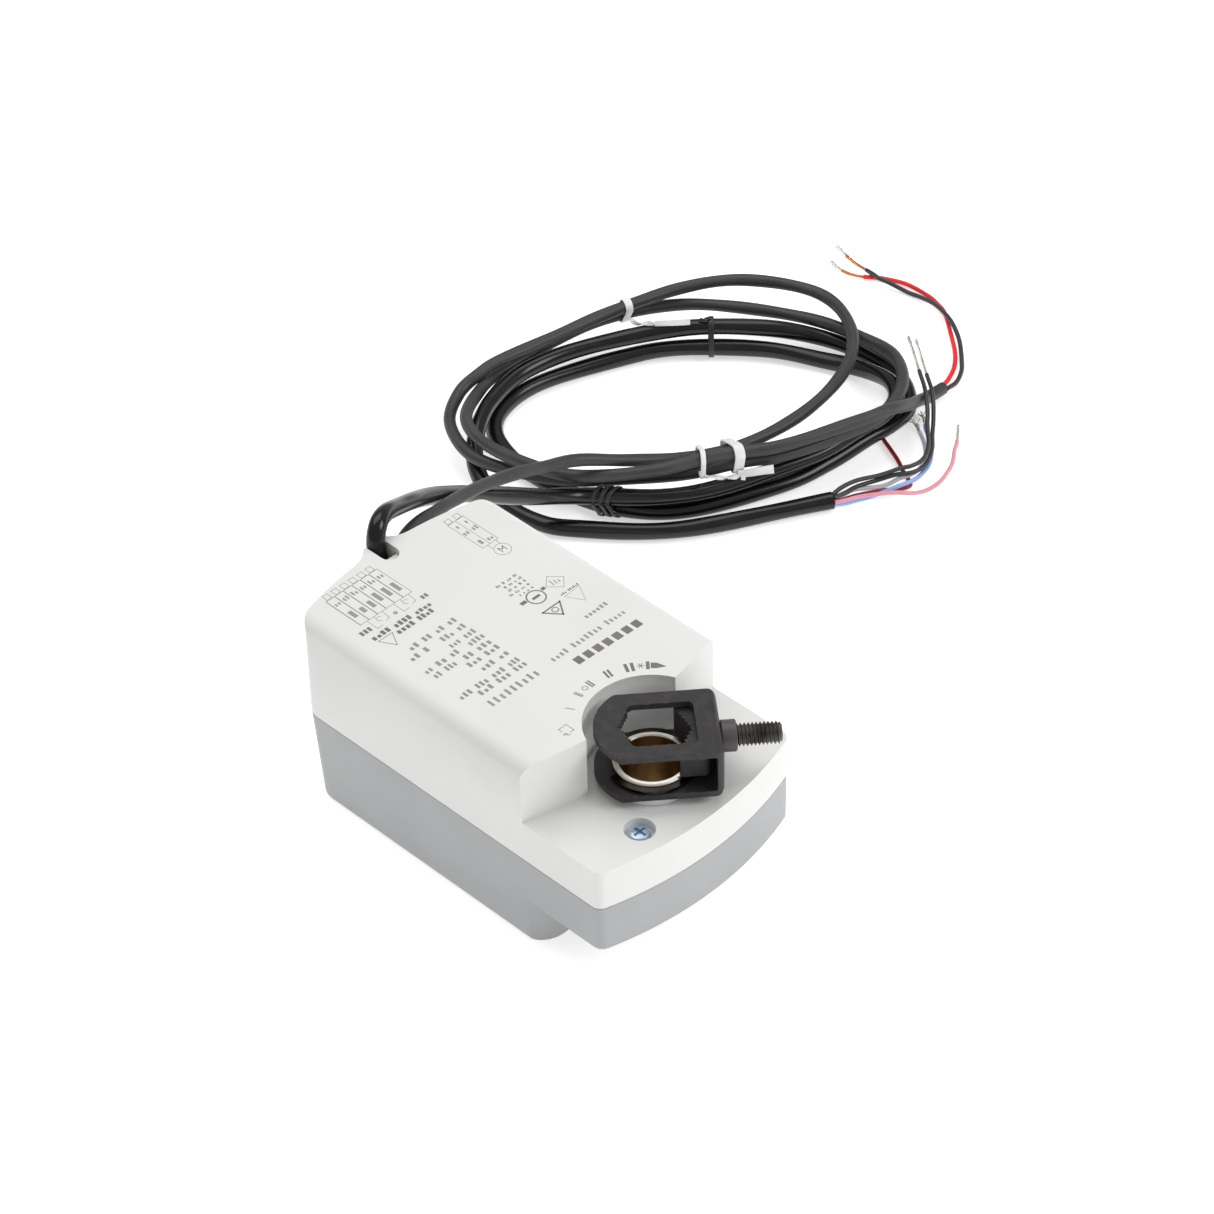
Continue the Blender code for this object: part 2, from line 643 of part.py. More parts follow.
POWER_ROUTE = [
    (9.5, 59.4, 47), (9.5, 62, 47), (10.6, 65, 47.6), (13.6, 67.3, 48.8), (18, 68.4, 49.8),
    (23, 69.1, 49.8), (29, 70.2, 48.4), (36, 72.4, 46), (53, 78, 38.4), (68, 81, 32), (81, 81.5, 26.8),
    (93, 80.5, 22.6), (107, 74.5, 17.6), (120.5, 67.5, 14.2), (137, 59.5, 13.3), (162, 57, 13),
    (186, 62.5, 13), (201.5, 75.5, 13), (206.5, 93, 13), (196.5, 113, 13), (180, 124.5, 13),
    (155, 132, 13), (135, 135.5, 13), (118, 138.7, 13.1), (110, 139.3, 12.2), (101.5, 139, 10),
    (91, 132, 9), (85, 117.5, 9), (88, 103, 9), (98, 88, 8), (113, 74, 8), (123, 64.5, 9),
    (132, 54.5, 13.4), (144, 46.5, 13.8), (170, 39.5, 13.6), (187.5, 43, 13), (200.5, 55.5, 11),
    (203.5, 71, 9), (199, 93.5, 8), (181, 121.5, 8), (158.5, 135, 8), (138.5, 138.5, 8),
    (118.5, 139.3, 8), (106, 135.3, 10), (92.5, 126.5, 13), (88, 115, 13), (88.5, 97.5, 14.5),
    (94, 81.5, 15.6), (109, 66.5, 17.2), (126.5, 57, 17.9), (140.5, 47, 18.3), (165, 38.3, 18.3),
    (174, 36.6, 17.6), (181, 37, 14.8), (188, 39.2, 10.4), (195, 42, 6.2), (201.3, 43.5, 3.2),
    (208.4, 44.2, 1.95),
]
cord("switch_cord", SWITCH_ROUTE, SWITCH_CORD_D, 11.4, sides=3, bend=8)
cord("power_cord", POWER_ROUTE, POWER_CORD_D, 12.0, bend=8)

PINK = [
    (146.8, 31.4, 2.6), (150, 29.8, 2.4), (153.5, 28.4, 2.2), (159.5, 24.4, 2.2), (163, 21.6, 2),
    (166, 19.4, 1.2), (169, 17.9, 0.8), (172, 17, 0.8), (176, 17, 0.8), (180, 18, 0.8), (185, 20, 0.8),
    (190, 23.5, 0.8), (193.5, 25.6, 0.8), (199.5, 30.5, 0.8),
]
BLUE = [
    (147.1, 31.9, 1.3), (150, 30.3, 0.9), (153.5, 28.8, 0.8), (157.5, 27, 0.8), (160.5, 25.4, 1.3),
    (163.5, 23.9, 2.1), (166, 22.9, 2.3), (168.3, 22.2, 2.3), (171.5, 21.8, 2.3), (175, 22.3, 2.2),
    (178.8, 23.6, 1.9), (182.8, 26.2, 1.2), (186, 29, 0.8), (188.6, 32, 0.8), (191.5, 36, 0.8),
    (194, 38.5, 0.8), (197, 41.6, 0.8),
]
DARK_RED = [
    (147.9, 33.1, 1.3), (151, 31.8, 0.9), (155, 30.3, 0.8), (161, 27, 0.8), (164.2, 24.6, 0.8),
    (167.2, 22.4, 0.8), (169.4, 22.4, 0.8), (171, 25, 0.8), (172.5, 28, 0.8), (175, 32.2, 0.8),
    (177.5, 37.5, 0.8), (179.5, 42, 0.8), (182.5, 47, 0.8),
]
WHITE = [
    (148.2, 33.6, 2.6), (151.5, 32.4, 2), (155, 31.8, 2), (158, 30.9, 1.3), (161, 29.2, 0.8),
    (164.5, 27.2, 0.8), (168, 25.4, 2.2), (171.5, 24, 2.3), (175.5, 24.2, 2.2), (180, 26.2, 1.9),
    (183.6, 29.2, 1.1), (186.6, 32.5, 0.8), (189.6, 37, 0.8), (191.6, 40, 0.8), (192.6, 41.4, 0.8),
]
BLACK_1 = [
    (147.9, 33.1, 3.9), (151.5, 32.8, 4.6), (156.5, 31.6, 4.8), (163.5, 28.8, 4.2), (168.5, 26, 5.2),
    (171.5, 24.2, 5.4), (175, 23.6, 5.4), (178.5, 24.6, 5.4), (182.5, 27.2, 5.2), (185.5, 30, 5.2),
    (189, 33.4, 5.8), (192, 36, 6.8), (195.5, 39.6, 8.2), (199.5, 44, 8), (204, 49.5, 7),
    (210.5, 57.5, 6), (217, 65.5, 5),
]
BLACK_2 = [
    (147.1, 31.9, 3.9), (151, 31.2, 3.7), (156, 31, 3.2), (162.5, 29.2, 2.6), (167.5, 26, 3.6),
    (170.5, 23.5, 3.8), (174, 22.6, 3.8), (178, 23.4, 3.8), (183.5, 26.6, 3.4), (188, 30.5, 3.4),
    (193, 34.5, 4.2), (197.5, 38.6, 6), (201, 42.4, 6.8), (205.5, 48, 6), (212, 56, 5),
    (218, 63.5, 4.4),
]
POWER_RED = [
    (209, 44.9, 2), (214, 46.8, 1), (219.5, 49.5, 0.8), (225, 54, 0.8), (231.5, 61.5, 0.8),
    (237.5, 69, 0.8), (239.5, 74, 0.8), (240.5, 78.5, 0.8), (240.5, 86.5, 0.8), (238.5, 92.5, 0.8),
    (236.5, 96, 0.8), (234, 99.5, 0.8), (232.4, 103, 0.9), (232, 107, 1), (232.8, 111.5, 1.2),
]
POWER_BLACK = [
    (209, 43.2, 1.9), (214, 44, 0.9), (218.5, 46, 0.8), (222, 48.6, 0.8), (229, 55.6, 1.5),
    (233, 61.6, 2.4), (235.5, 67, 2.5), (237.2, 73, 2.3), (238, 79, 1.2), (237.6, 84, 0.8),
    (236, 90.5, 2.1), (235.4, 93.5, 2.3), (235.6, 96, 2.4), (236.6, 100, 1.6), (237.6, 105.5, 0.9),
    (238.8, 110.5, 0.8), (240.2, 115.5, 0.9),
]
SWITCH_WIRE_D = 1.3
POWER_WIRE_D = 1.4
# name, route, diameter, length of bare conductor
WIRES = [
    ("switch_wire_pink", PINK, SWITCH_WIRE_D, 7.5),
    ("switch_wire_blue", BLUE, SWITCH_WIRE_D, 6.0),
    ("switch_wire_dark_red", DARK_RED, SWITCH_WIRE_D, 4.0),
    ("switch_wire_white", WHITE, SWITCH_WIRE_D, 6.0),
    ("switch_wire_black_1", BLACK_1, SWITCH_WIRE_D, 19.0),
    ("switch_wire_black_2", BLACK_2, SWITCH_WIRE_D, 19.0),
    ("power_wire_red", POWER_RED, POWER_WIRE_D, 13.0),
    ("power_wire_black", POWER_BLACK, POWER_WIRE_D, 16.0),
]
for name, route, diameter, bare in WIRES:
    cord(name, route, diameter, 4.2, bare=bare)


def hull(points):
    """Convex outline of a set of points, anticlockwise."""
    points = sorted(points)
    sides = []
    for ordered in (points, points[::-1]):
        chain = []
        for p in ordered:
            while len(chain) > 1 and (chain[-1][0] - chain[-2][0]) * (p[1] - chain[-2][1]) <= (
                chain[-1][1] - chain[-2][1]
            ) * (p[0] - chain[-2][0]):
                chain.pop()
            chain.append(p)
        sides += chain[:-1]
    return sides


def tie(name, centre, heading, strands, width, gap=0.4, thick=0.5):
    """A flat band around parallel strands given as (sideways, height, radius)."""

    def loop(extra):
        return hull([q for a, z, r in strands for q in circle(r + extra, 20, (a, z))])

    band = prism(name, loop(gap + thick), -width / 2, width / 2)
    cut(band, prism("tool", loop(gap), -width, width))
    # the band's own axes (sideways, up, along) in the head's axes
    a = math.radians(heading)
    turn = Matrix(((-math.sin(a), 0, math.cos(a)), (math.cos(a), 0, math.sin(a)), (0, 1, 0)))
    return move(band, Matrix.Translation((*centre, 0)) @ turn.to_4x4())


tie(
    "tie_white_front",
    (133, 56),
    -33,
    [(5.1, 13.35, 2.3), (-1.57, 12.85, 2.15), (-3.25, 18.1, 1.95)],
    2.6,
    gap=0.1,
    thick=0.35,
)
# name, centre, heading, then each strand's place sideways, height and radius
tie("tie_white_top", (163, 131), -20, [(-0.9, 13, 1.85), (1.9, 8, 1.85)], 2.6)
tie("tie_black_front", (101, 76), -55, [(-2.7, 9.15, 2.7), (0, 3.6, 2.75)], 2.0)
tie("tie_black_top", (176, 108), -45, [(-2.2, 3.45, 2.5), (0.5, 9.05, 2.5)], 2.0)
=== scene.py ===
"""The looks of a motorised damper actuator head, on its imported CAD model.

Everything is in metres, in the frame of the CAD model: +Z up along the output
hub, +Y towards the cable end, and the head stands on z = 0. Sizes below are
written in millimetres and scaled by MM.
"""

import json
import math
import random

import bmesh
import bpy
from mathutils import Matrix, Vector


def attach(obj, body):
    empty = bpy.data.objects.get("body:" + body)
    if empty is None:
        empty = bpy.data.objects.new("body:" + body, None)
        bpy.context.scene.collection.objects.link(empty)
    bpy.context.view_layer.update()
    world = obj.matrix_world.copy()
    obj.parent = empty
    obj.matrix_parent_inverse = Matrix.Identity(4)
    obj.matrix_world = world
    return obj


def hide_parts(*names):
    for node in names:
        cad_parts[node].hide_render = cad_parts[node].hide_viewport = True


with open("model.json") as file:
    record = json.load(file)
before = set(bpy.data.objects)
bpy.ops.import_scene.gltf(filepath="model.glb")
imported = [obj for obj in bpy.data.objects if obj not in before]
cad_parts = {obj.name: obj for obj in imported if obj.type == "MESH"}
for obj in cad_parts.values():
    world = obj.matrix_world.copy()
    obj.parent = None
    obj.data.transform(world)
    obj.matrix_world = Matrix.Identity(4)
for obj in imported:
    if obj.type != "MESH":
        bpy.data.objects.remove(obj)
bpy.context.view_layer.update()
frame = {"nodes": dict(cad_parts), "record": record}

MM = 0.001
DECK = 60.0  # top of the high deck
HUB = (0.0, -39.0)
CLAMP_ANGLE = math.radians(-40.5)  # the clamp screw's direction, seen from above
SCREW_Z = 53.3


# -------------------------------------------------------------------- camera
def add_camera():
    azimuth, elevation, roll = (math.radians(a) for a in (-44.465, 41.088, -1.386))
    target = Vector((47.52, 24.26, 30.0)) * MM
    distance = 1156.1 * MM
    back = Vector(
        (
            math.sin(azimuth) * math.cos(elevation),
            -math.cos(azimuth) * math.cos(elevation),
            math.sin(elevation),
        )
    )
    level = (-back).cross(Vector((0, 0, 1))).normalized()
    upright = level.cross(-back)
    right = math.cos(roll) * level + math.sin(roll) * upright
    up = math.cos(roll) * upright - math.sin(roll) * level
    data = bpy.data.cameras.new("camera")
    data.sensor_width = 36.0
    data.lens = 127.447
    data.clip_start = 0.01
    data.clip_end = 20.0
    camera = bpy.data.objects.new("camera", data)
    turn = Matrix((right, up, back)).transposed().to_4x4()
    camera.matrix_world = Matrix.Translation(target + back * distance) @ turn
    bpy.context.collection.objects.link(camera)
    bpy.context.scene.camera = camera


add_camera()


# ------------------------------------------------------------------- shaping
def finish_mesh(name, bm, materials, smooth=True):
    """The bmesh as an object with its normals facing out."""
    bmesh.ops.recalc_face_normals(bm, faces=bm.faces)
    mesh = bpy.data.meshes.new(name)
    bm.to_mesh(mesh)
    bm.free()
    for material in materials:
        mesh.materials.append(material)
    mesh.polygons.foreach_set("use_smooth", [smooth] * len(mesh.polygons))
    mesh.set_sharp_from_angle(angle=math.radians(40))
    obj = bpy.data.objects.new(name, mesh)
    bpy.context.collection.objects.link(obj)
    return obj


ROUTE_STEPS = 24  # fine steps between two points of a route


def smooth_route(route, step):
    """Points about a step apart on a Catmull-Rom curve through a route, all in mm."""
    p = [Vector(q) for q in route]
    p = [2 * p[0] - p[1]] + p + [2 * p[-1] - p[-2]]
    fine = []
    for a, b, c, d in zip(p, p[1:], p[2:], p[3:]):
        for k in range(ROUTE_STEPS):
            t = k / ROUTE_STEPS
            line = 2 * b + (c - a) * t
            bend = (2 * a - 5 * b + 4 * c - d) * t * t + (3 * b - a - 3 * c + d) * t**3
            fine.append(0.5 * (line + bend))
    fine.append(p[-2])
    length = line_length(fine)
    count = max(3, round(length / step))
    points, gone, want = [fine[0]], 0.0, length / count
    for q, r in zip(fine, fine[1:]):
        gap = (r - q).length
        while gone + gap >= want - 1e-9 and len(points) < count:
            points.append(q + (r - q) * ((want - gone) / gap))
            want += length / count
        gone += gap
    points.append(fine[-1])
    return points


def line_length(points):
    return sum((q - r).length for q, r in zip(points, points[1:]))


def split_line(points, length):
    """A line cut in two at that length from its start."""
    gone = 0.0
    for i, (q, r) in enumerate(zip(points, points[1:])):
        gap = (r - q).length
        if gone + gap >= length:
            middle = q + (r - q) * ((length - gone) / gap)
            return points[: i + 1] + [middle], [middle] + points[i + 1 :]
        gone += gap
    return points, points[-2:]


def axes_along(points, start=Vector((0, 0, 1))):
    """For each point of a line, two directions across it that turn as little as they can."""
    across = start
    result = []
    for i, p in enumerate(points):
        ahead = points[min(i + 1, len(points) - 1)] - points[max(i - 1, 0)]
        ahead.normalize()
        across = across - ahead * across.dot(ahead)
        if across.length < 1e-6:
            across = ahead.orthogonal()
        across.normalize()
        result.append((across, ahead.cross(across)))
    return result


def sweep(bm, points, section, scales=None, twists=None, start=Vector((0, 0, 1)), slot=0):
    """Adds a closed bar with that section along a line, all in mm. UVs run round it and along it."""
    uv = bm.loops.layers.uv.verify()
    frames = axes_along(points, start)
    rings, along, gone = [], [], 0.0
    for i, (p, (a, b)) in enumerate(zip(points, frames)):
        gone += (p - points[max(i - 1, 0)]).length
        scale = scales[i] if scales else 1.0
        turn = twists[i] if twists else 0.0
        cosine, sine = math.cos(turn), math.sin(turn)
        ring = []
        for x, y in section:
            q = p + (a * (x * cosine - y * sine) + b * (x * sine + y * cosine)) * scale
            ring.append(bm.verts.new(q * MM))
        rings.append(ring)
        along.append(gone * MM)
    n = len(section)
    for i in range(len(rings) - 1):
        for j in range(n):
            k = (j + 1) % n
            face = bm.faces.new((rings[i][j], rings[i][k], rings[i + 1][k], rings[i + 1][j]))
            face.material_index = slot
            places = ((j, i), (j + 1, i), (j + 1, i + 1), (j, i + 1))
            for loop, (u, v) in zip(face.loops, places):
                loop[uv].uv = (u / n, along[v])
    for ring in (rings[0], rings[-1]):
        bm.faces.new(ring).material_index = slot
    return rings


def circle(radius, count):
    turns = (2 * math.pi * k / count for k in range(count))
    return [(radius * math.cos(t), radius * math.sin(t)) for t in turns]


def lobed(radius, ripple, count):
    """A round section with two low lobes, that share of the radius high."""
    points = []
    for i in range(count):
        a = 2 * math.pi * i / count
        swollen = radius * (1 + ripple * math.cos(2 * a))
        points.append((swollen * math.cos(a), swollen * math.sin(a)))
    return points


def strip(width, thickness):
    """Section of a flat strip with rounded edges, wide along its second axis."""
    half, r = width / 2 - thickness / 2, thickness / 2
    points = []
    for k in range(7):
        t = math.pi * k / 6
        points.append((r * math.cos(t), half + r * math.sin(t)))
    for k in range(7):
        t = math.pi * (1 + k / 6)
        points.append((r * math.cos(t), -half + r * math.sin(t)))
    return points


# ----------------------------------------------------------------- materials
def linear(red, green, blue):
    """A colour given as 0 to 255 in sRGB, as Blender's linear colour."""
    parts = (c / 255 for c in (red, green, blue))
    return (*(c / 12.92 if c <= 0.04045 else ((c + 0.055) / 1.055) ** 2.4 for c in parts), 1.0)


class Recipe:
    """A Principled material built from nodes on the object's own coordinates, in metres."""

    def __init__(self, name, colour, roughness, metallic=0.0, **more):
        self.material = bpy.data.materials.new(name)
        self.material.use_nodes = True
        self.tree = self.material.node_tree
        self.shader = self.tree.nodes["Principled BSDF"]
        self.colour = colour
        self.shader.inputs["Base Color"].default_value = colour
        self.shader.inputs["Roughness"].default_value = roughness
        self.shader.inputs["Metallic"].default_value = metallic
        for key, value in more.items():
            self.shader.inputs[key.replace("_", " ")].default_value = value
        self.where = self.node("ShaderNodeTexCoord").outputs["Object"]

    def node(self, kind, inputs=(), **settings):
        node = self.tree.nodes.new(kind)
        for key, value in settings.items():
            setattr(node, key, value)
        for key, value in dict(inputs).items():
            if isinstance(value, bpy.types.NodeSocket):
                self.tree.links.new(value, node.inputs[key])
            else:
                node.inputs[key].default_value = value
        return node

    def link(self, out, key):
        self.tree.links.new(out, self.shader.inputs[key])

    def noise(self, scale, detail=4.0, stretch=(1, 1, 1)):
        where = self.node("ShaderNodeMapping", {"Vector": self.where, "Scale": stretch})
        made = {"Vector": where.outputs[0], "Scale": scale, "Detail": detail}
        return self.node("ShaderNodeTexNoise", made).outputs["Fac"]

    def mask(self, value, low, high):
        """value turned from low..high into 0..1, with soft ends."""
        made = {"Value": value, "From Min": low, "From Max": high}
        return self.node("ShaderNodeMapRange", made, interpolation_type="SMOOTHSTEP").outputs[0]

    def mix(self, factor, first, second):
        made = self.node("ShaderNodeMix", data_type="RGBA")
        for socket, value in zip((made.inputs[0], made.inputs[6], made.inputs[7]), (factor, first, second)):
            if isinstance(value, bpy.types.NodeSocket):
                self.tree.links.new(value, socket)
            else:
                socket.default_value = value
        return made.outputs[2]

    def colour_by(self, factor, other):
        """The colour turns into another where the factor is 1."""
        base = self.shader.inputs["Base Color"]
        first = base.links[0].from_socket if base.links else self.colour
        self.link(self.mix(factor, first, other), "Base Color")
        return self

    def roughness_by(self, factor, low, high):
        made = {"Value": factor, "To Min": low, "To Max": high}
        self.link(self.node("ShaderNodeMapRange", made).outputs[0], "Roughness")
        return self

    def relief(self, height, depth, edge=0.0):
        """Bump of that depth in metres, over edges rounded by a radius in metres."""
        made = {"Height": height, "Distance": depth, "Strength": 1.0}
        if edge:
            made["Normal"] = self.node("ShaderNodeBevel", {"Radius": edge}, samples=4).outputs[0]
        self.link(self.node("ShaderNodeBump", made).outputs[0], "Normal")
        return self

    def edge_mask(self, radius, low, high):
        """1 on outer and inner edges, where the rounded normal leaves the flat one."""
        rounded = self.node("ShaderNodeBevel", {"Radius": radius}, samples=4).outputs[0]
        flat = self.node("ShaderNodeNewGeometry").outputs["Normal"]
        dot = self.node("ShaderNodeVectorMath", operation="DOT_PRODUCT")
        self.tree.links.new(rounded, dot.inputs[0])
        self.tree.links.new(flat, dot.inputs[1])
        made = {"Value": dot.outputs["Value"], "From Min": high, "From Max": low}
        return self.node("ShaderNodeMapRange", made).outputs[0]

    def times(self, first, second):
        made = self.node("ShaderNodeMath", operation="MULTIPLY")
        self.tree.links.new(first, made.inputs[0])
        self.tree.links.new(second, made.inputs[1])
        return made.outputs[0]


def moulded(name, colour, shade, roughness, grain=2600, depth=0.000012, edge=0.0007, **more):
    """Moulded plastic: a fine spark-eroded grain, and a faint unevenness of tone."""
    made = Recipe(name, colour, roughness, **more)
    made.colour_by(made.mask(made.noise(45), 0.35, 0.75), shade)
    fine = made.noise(grain, 2.0)
    made.roughness_by(fine, roughness - 0.07, roughness + 0.09)
    return made.relief(fine, depth, edge).material


def plated(name, colour, shade, roughness, grain=900, stretch=(1, 1, 1), edge=0.00015, metallic=1.0):
    """Plated metal: cloudy tone with fine scratches."""
    made = Recipe(name, colour, roughness, metallic)
    made.colour_by(made.mask(made.noise(220), 0.4, 0.65), shade)
    fine = made.noise(grain, 6.0, stretch)
    made.roughness_by(fine, roughness * 0.7, min(1.0, roughness * 1.5))
    return made.relief(fine, 0.000006, edge).material


def jacket(name, colour, shade, roughness, dull, depth, scale=1500, **more):
    """Extruded jacket: fine streaks along it, with dusty patches."""
    made = Recipe(name, colour, roughness, **more)
    dust = made.mask(made.noise(60, 6.0), 0.45, 0.7)
    made.colour_by(dust, shade)
    fine = made.noise(scale, 3.0)
    made.roughness_by(dust, roughness, dull)
    return made.relief(fine, depth).material


def bracket_finish():
    """Black powder coat on steel, worn to grey metal along its edges."""
    made = Recipe("bracket_black", linear(46, 44, 46), 0.5, Specular_IOR_Level=0.3)
    made.colour_by(made.mask(made.noise(300, 6.0), 0.4, 0.75), linear(57, 54, 55))
    grain = made.noise(2200, 3.0)
    worn = made.times(made.edge_mask(0.00025, 0.75, 0.93), made.mask(made.noise(900, 4.0), 0.52, 0.6))
    made.colour_by(worn, linear(150, 142, 135))
    made.roughness_by(grain, 0.38, 0.6)
    return made.relief(grain, 0.000018, 0.0002).material


def hub_finish():
    """Yellow-passivated steel with cloudy browner patches, and a painted highlight: a near-white band round
    the top rim.
    """
    made = Recipe("hub_steel", linear(150, 118, 72), 0.42, 1.0)
    made.colour_by(made.mask(made.noise(260, 5.0, (1, 1, 0.35)), 0.38, 0.68), linear(108, 84, 52))
    height = made.node("ShaderNodeSeparateXYZ", {"Vector": made.where}).outputs["Z"]
    # painted highlight: the band at the height of the top rim is painted near white
    made.colour_by(made.mask(height, 0.0469, 0.0474), linear(232, 228, 220))
    fine = made.noise(700, 6.0, (1, 1, 0.15))
    made.roughness_by(fine, 0.28, 0.55)
    return made.relief(fine, 0.00001, 0.0002).material


def board_finish():
    """Green solder mask with lighter copper traces below it."""
    made = Recipe("board", linear(24, 92, 48), 0.35, Coat_Weight=0.4)
    cells = made.node("ShaderNodeTexVoronoi", {"Vector": made.where, "Scale": 320.0}, distance="CHEBYCHEV")
    made.colour_by(made.mask(cells.outputs["Distance"], 0.55, 0.5), linear(44, 128, 66))
    return made.relief(cells.outputs["Distance"], 0.00002, 0.0001).material


def make_materials():
    white = linear(228, 228, 226)
    return {
        "cover_plastic": moulded("cover_plastic", white, linear(225, 225, 222), 0.46, edge=0.0),
        "base_plastic": moulded("base_plastic", linear(170, 171, 172), linear(166, 167, 168), 0.5),
        "bush_plastic": moulded("bush_plastic", linear(226, 226, 228), linear(218, 218, 222), 0.35),
        "zinc_screw": plated("zinc_screw", linear(198, 214, 228), linear(160, 186, 210), 0.3, metallic=0.55),
        "zinc_steel": plated("zinc_steel", linear(196, 198, 202), linear(178, 182, 188), 0.32),
        "spring_steel": plated("spring_steel", linear(206, 204, 198), linear(180, 176, 168), 0.25),
        # ring_steel is painted darker than bare steel: partly its own dark finish, partly painted shade from
        # the bracket above it
        "ring_steel": plated("ring_steel", linear(70, 66, 62), linear(52, 49, 47), 0.16, 500),
        "gear_steel": plated("gear_steel", linear(150, 148, 144), linear(128, 126, 124), 0.42),
        "brass_gear": plated("brass_gear", linear(208, 178, 112), linear(190, 156, 92), 0.3),
        "thread_black": plated("thread_black", linear(104, 100, 98), linear(70, 67, 66), 0.42, 1800),
        "gear_plastic": moulded("gear_plastic", linear(222, 216, 200), linear(214, 206, 188), 0.4),
        "black_plastic": moulded("black_plastic", linear(44, 44, 46), linear(52, 52, 54), 0.45),
        "grommet_rubber": moulded("grommet_rubber", linear(38, 38, 40), linear(50, 49, 50), 0.62),
        "grommet_pale": moulded("grommet_pale", linear(224, 220, 208), linear(214, 209, 196), 0.55),
        "jaw_black": plated("jaw_black", linear(40, 38, 40), linear(54, 51, 53), 0.46, metallic=0.4),
        "capacitor_sleeve": moulded("capacitor_sleeve", linear(34, 42, 72), linear(40, 48, 80), 0.3),
        "nut_black": moulded(
            "nut_black", linear(66, 60, 63), linear(84, 76, 78), 0.42, 1800, 0.00002, 0.0003
        ),
        "bracket_black": bracket_finish(),
        "hub_steel": hub_finish(),
        "board": board_finish(),
        "cord_rubber": jacket("cord_rubber", linear(50, 49, 50), linear(64, 62, 63), 0.46, 0.6, 0.000014),
        "cord_pvc": jacket(
            "cord_pvc",
            linear(14, 13, 16),
            linear(21, 20, 24),
            0.2,
            0.28,
            0.000003,
            500,
            Specular_IOR_Level=0.4,
        ),
        "wire_pink": jacket("wire_pink", linear(226, 160, 172), linear(216, 148, 162), 0.36, 0.45, 0.000006),
        "wire_blue": jacket("wire_blue", linear(158, 184, 232), linear(140, 168, 222), 0.36, 0.45, 0.000006),
        "wire_dark_red": jacket(
            "wire_dark_red", linear(142, 26, 36), linear(120, 20, 30), 0.36, 0.45, 0.000006
        ),
        "wire_white": jacket(
            "wire_white", linear(226, 226, 230), linear(206, 206, 212), 0.36, 0.45, 0.000006
        ),
        "wire_black": jacket("wire_black", linear(44, 44, 48), linear(58, 57, 60), 0.36, 0.48, 0.000006),
        "wire_red": jacket("wire_red", linear(228, 44, 48), linear(214, 36, 42), 0.36, 0.45, 0.000006),
        "tie_white": jacket("tie_white", linear(240, 240, 240), linear(228, 228, 230), 0.42, 0.5, 0.00002),
        "tie_black": jacket("tie_black", linear(34, 33, 35), linear(46, 45, 47), 0.4, 0.5, 0.00002),
        "copper": plated("copper", linear(214, 150, 104), linear(186, 122, 80), 0.3, 2500),
        "tinned": plated("tinned", linear(232, 230, 224), linear(206, 203, 196), 0.3, 2500),
        "print_ink": moulded("print_ink", linear(112, 107, 105), linear(124, 119, 116), 0.5, edge=0.0),
        "print_light": moulded("print_light", linear(146, 142, 140), linear(156, 152, 150), 0.5, edge=0.0),
    }


MATERIALS = make_materials()


# --------------------------------------------------------------- CAD surfaces
def smoothing_group():
    """Smooth shading, apart from edges that turn by more than 35 degrees."""
    group = bpy.data.node_groups.new("smooth_by_angle", "GeometryNodeTree")
    group.interface.new_socket("Geometry", in_out="INPUT", socket_type="NodeSocketGeometry")
    group.interface.new_socket("Geometry", in_out="OUTPUT", socket_type="NodeSocketGeometry")
    nodes, links = group.nodes, group.links
    start, end = nodes.new("NodeGroupInput"), nodes.new("NodeGroupOutput")
    weld = nodes.new("GeometryNodeMergeByDistance")
    weld.inputs["Distance"].default_value = 0.001 * MM
    faces, edges = (nodes.new("GeometryNodeSetShadeSmooth") for _ in range(2))
    faces.domain, edges.domain = "FACE", "EDGE"
    angle = nodes.new("GeometryNodeInputMeshEdgeAngle")
    flat = nodes.new("FunctionNodeCompare")
    flat.data_type, flat.operation = "FLOAT", "LESS_EQUAL"
    flat.inputs[1].default_value = math.radians(35)
    links.new(start.outputs[0], weld.inputs["Geometry"])
    links.new(weld.outputs[0], faces.inputs["Geometry"])
    links.new(faces.outputs[0], edges.inputs["Geometry"])
    links.new(angle.outputs["Unsigned Angle"], flat.inputs[0])
    links.new(flat.outputs[0], edges.inputs["Shade Smooth"])
    links.new(edges.outputs[0], end.inputs[0])
    return group


# Nodes that look different from the rest of their slot.
OWN_MATERIALS = {
    "clamp_nut": "nut_black",
    "clamp_jaw": "jaw_black",
    "retaining_ring": "ring_steel",
    "switch_cord_grommet": "grommet_pale",
}


def dress_cad():
    """Gives every CAD node its material, which is mostly that of its slot, with smooth shading."""
    group = smoothing_group()
    for part in frame["record"]["subparts"]:
        node = frame["nodes"][part["node"]]
        node.data.materials.clear()
        node.data.materials.append(MATERIALS[OWN_MATERIALS.get(part["node"], part["material_slot"])])
        node.modifiers.new("smooth_by_angle", "NODES").node_group = group


dress_cad()


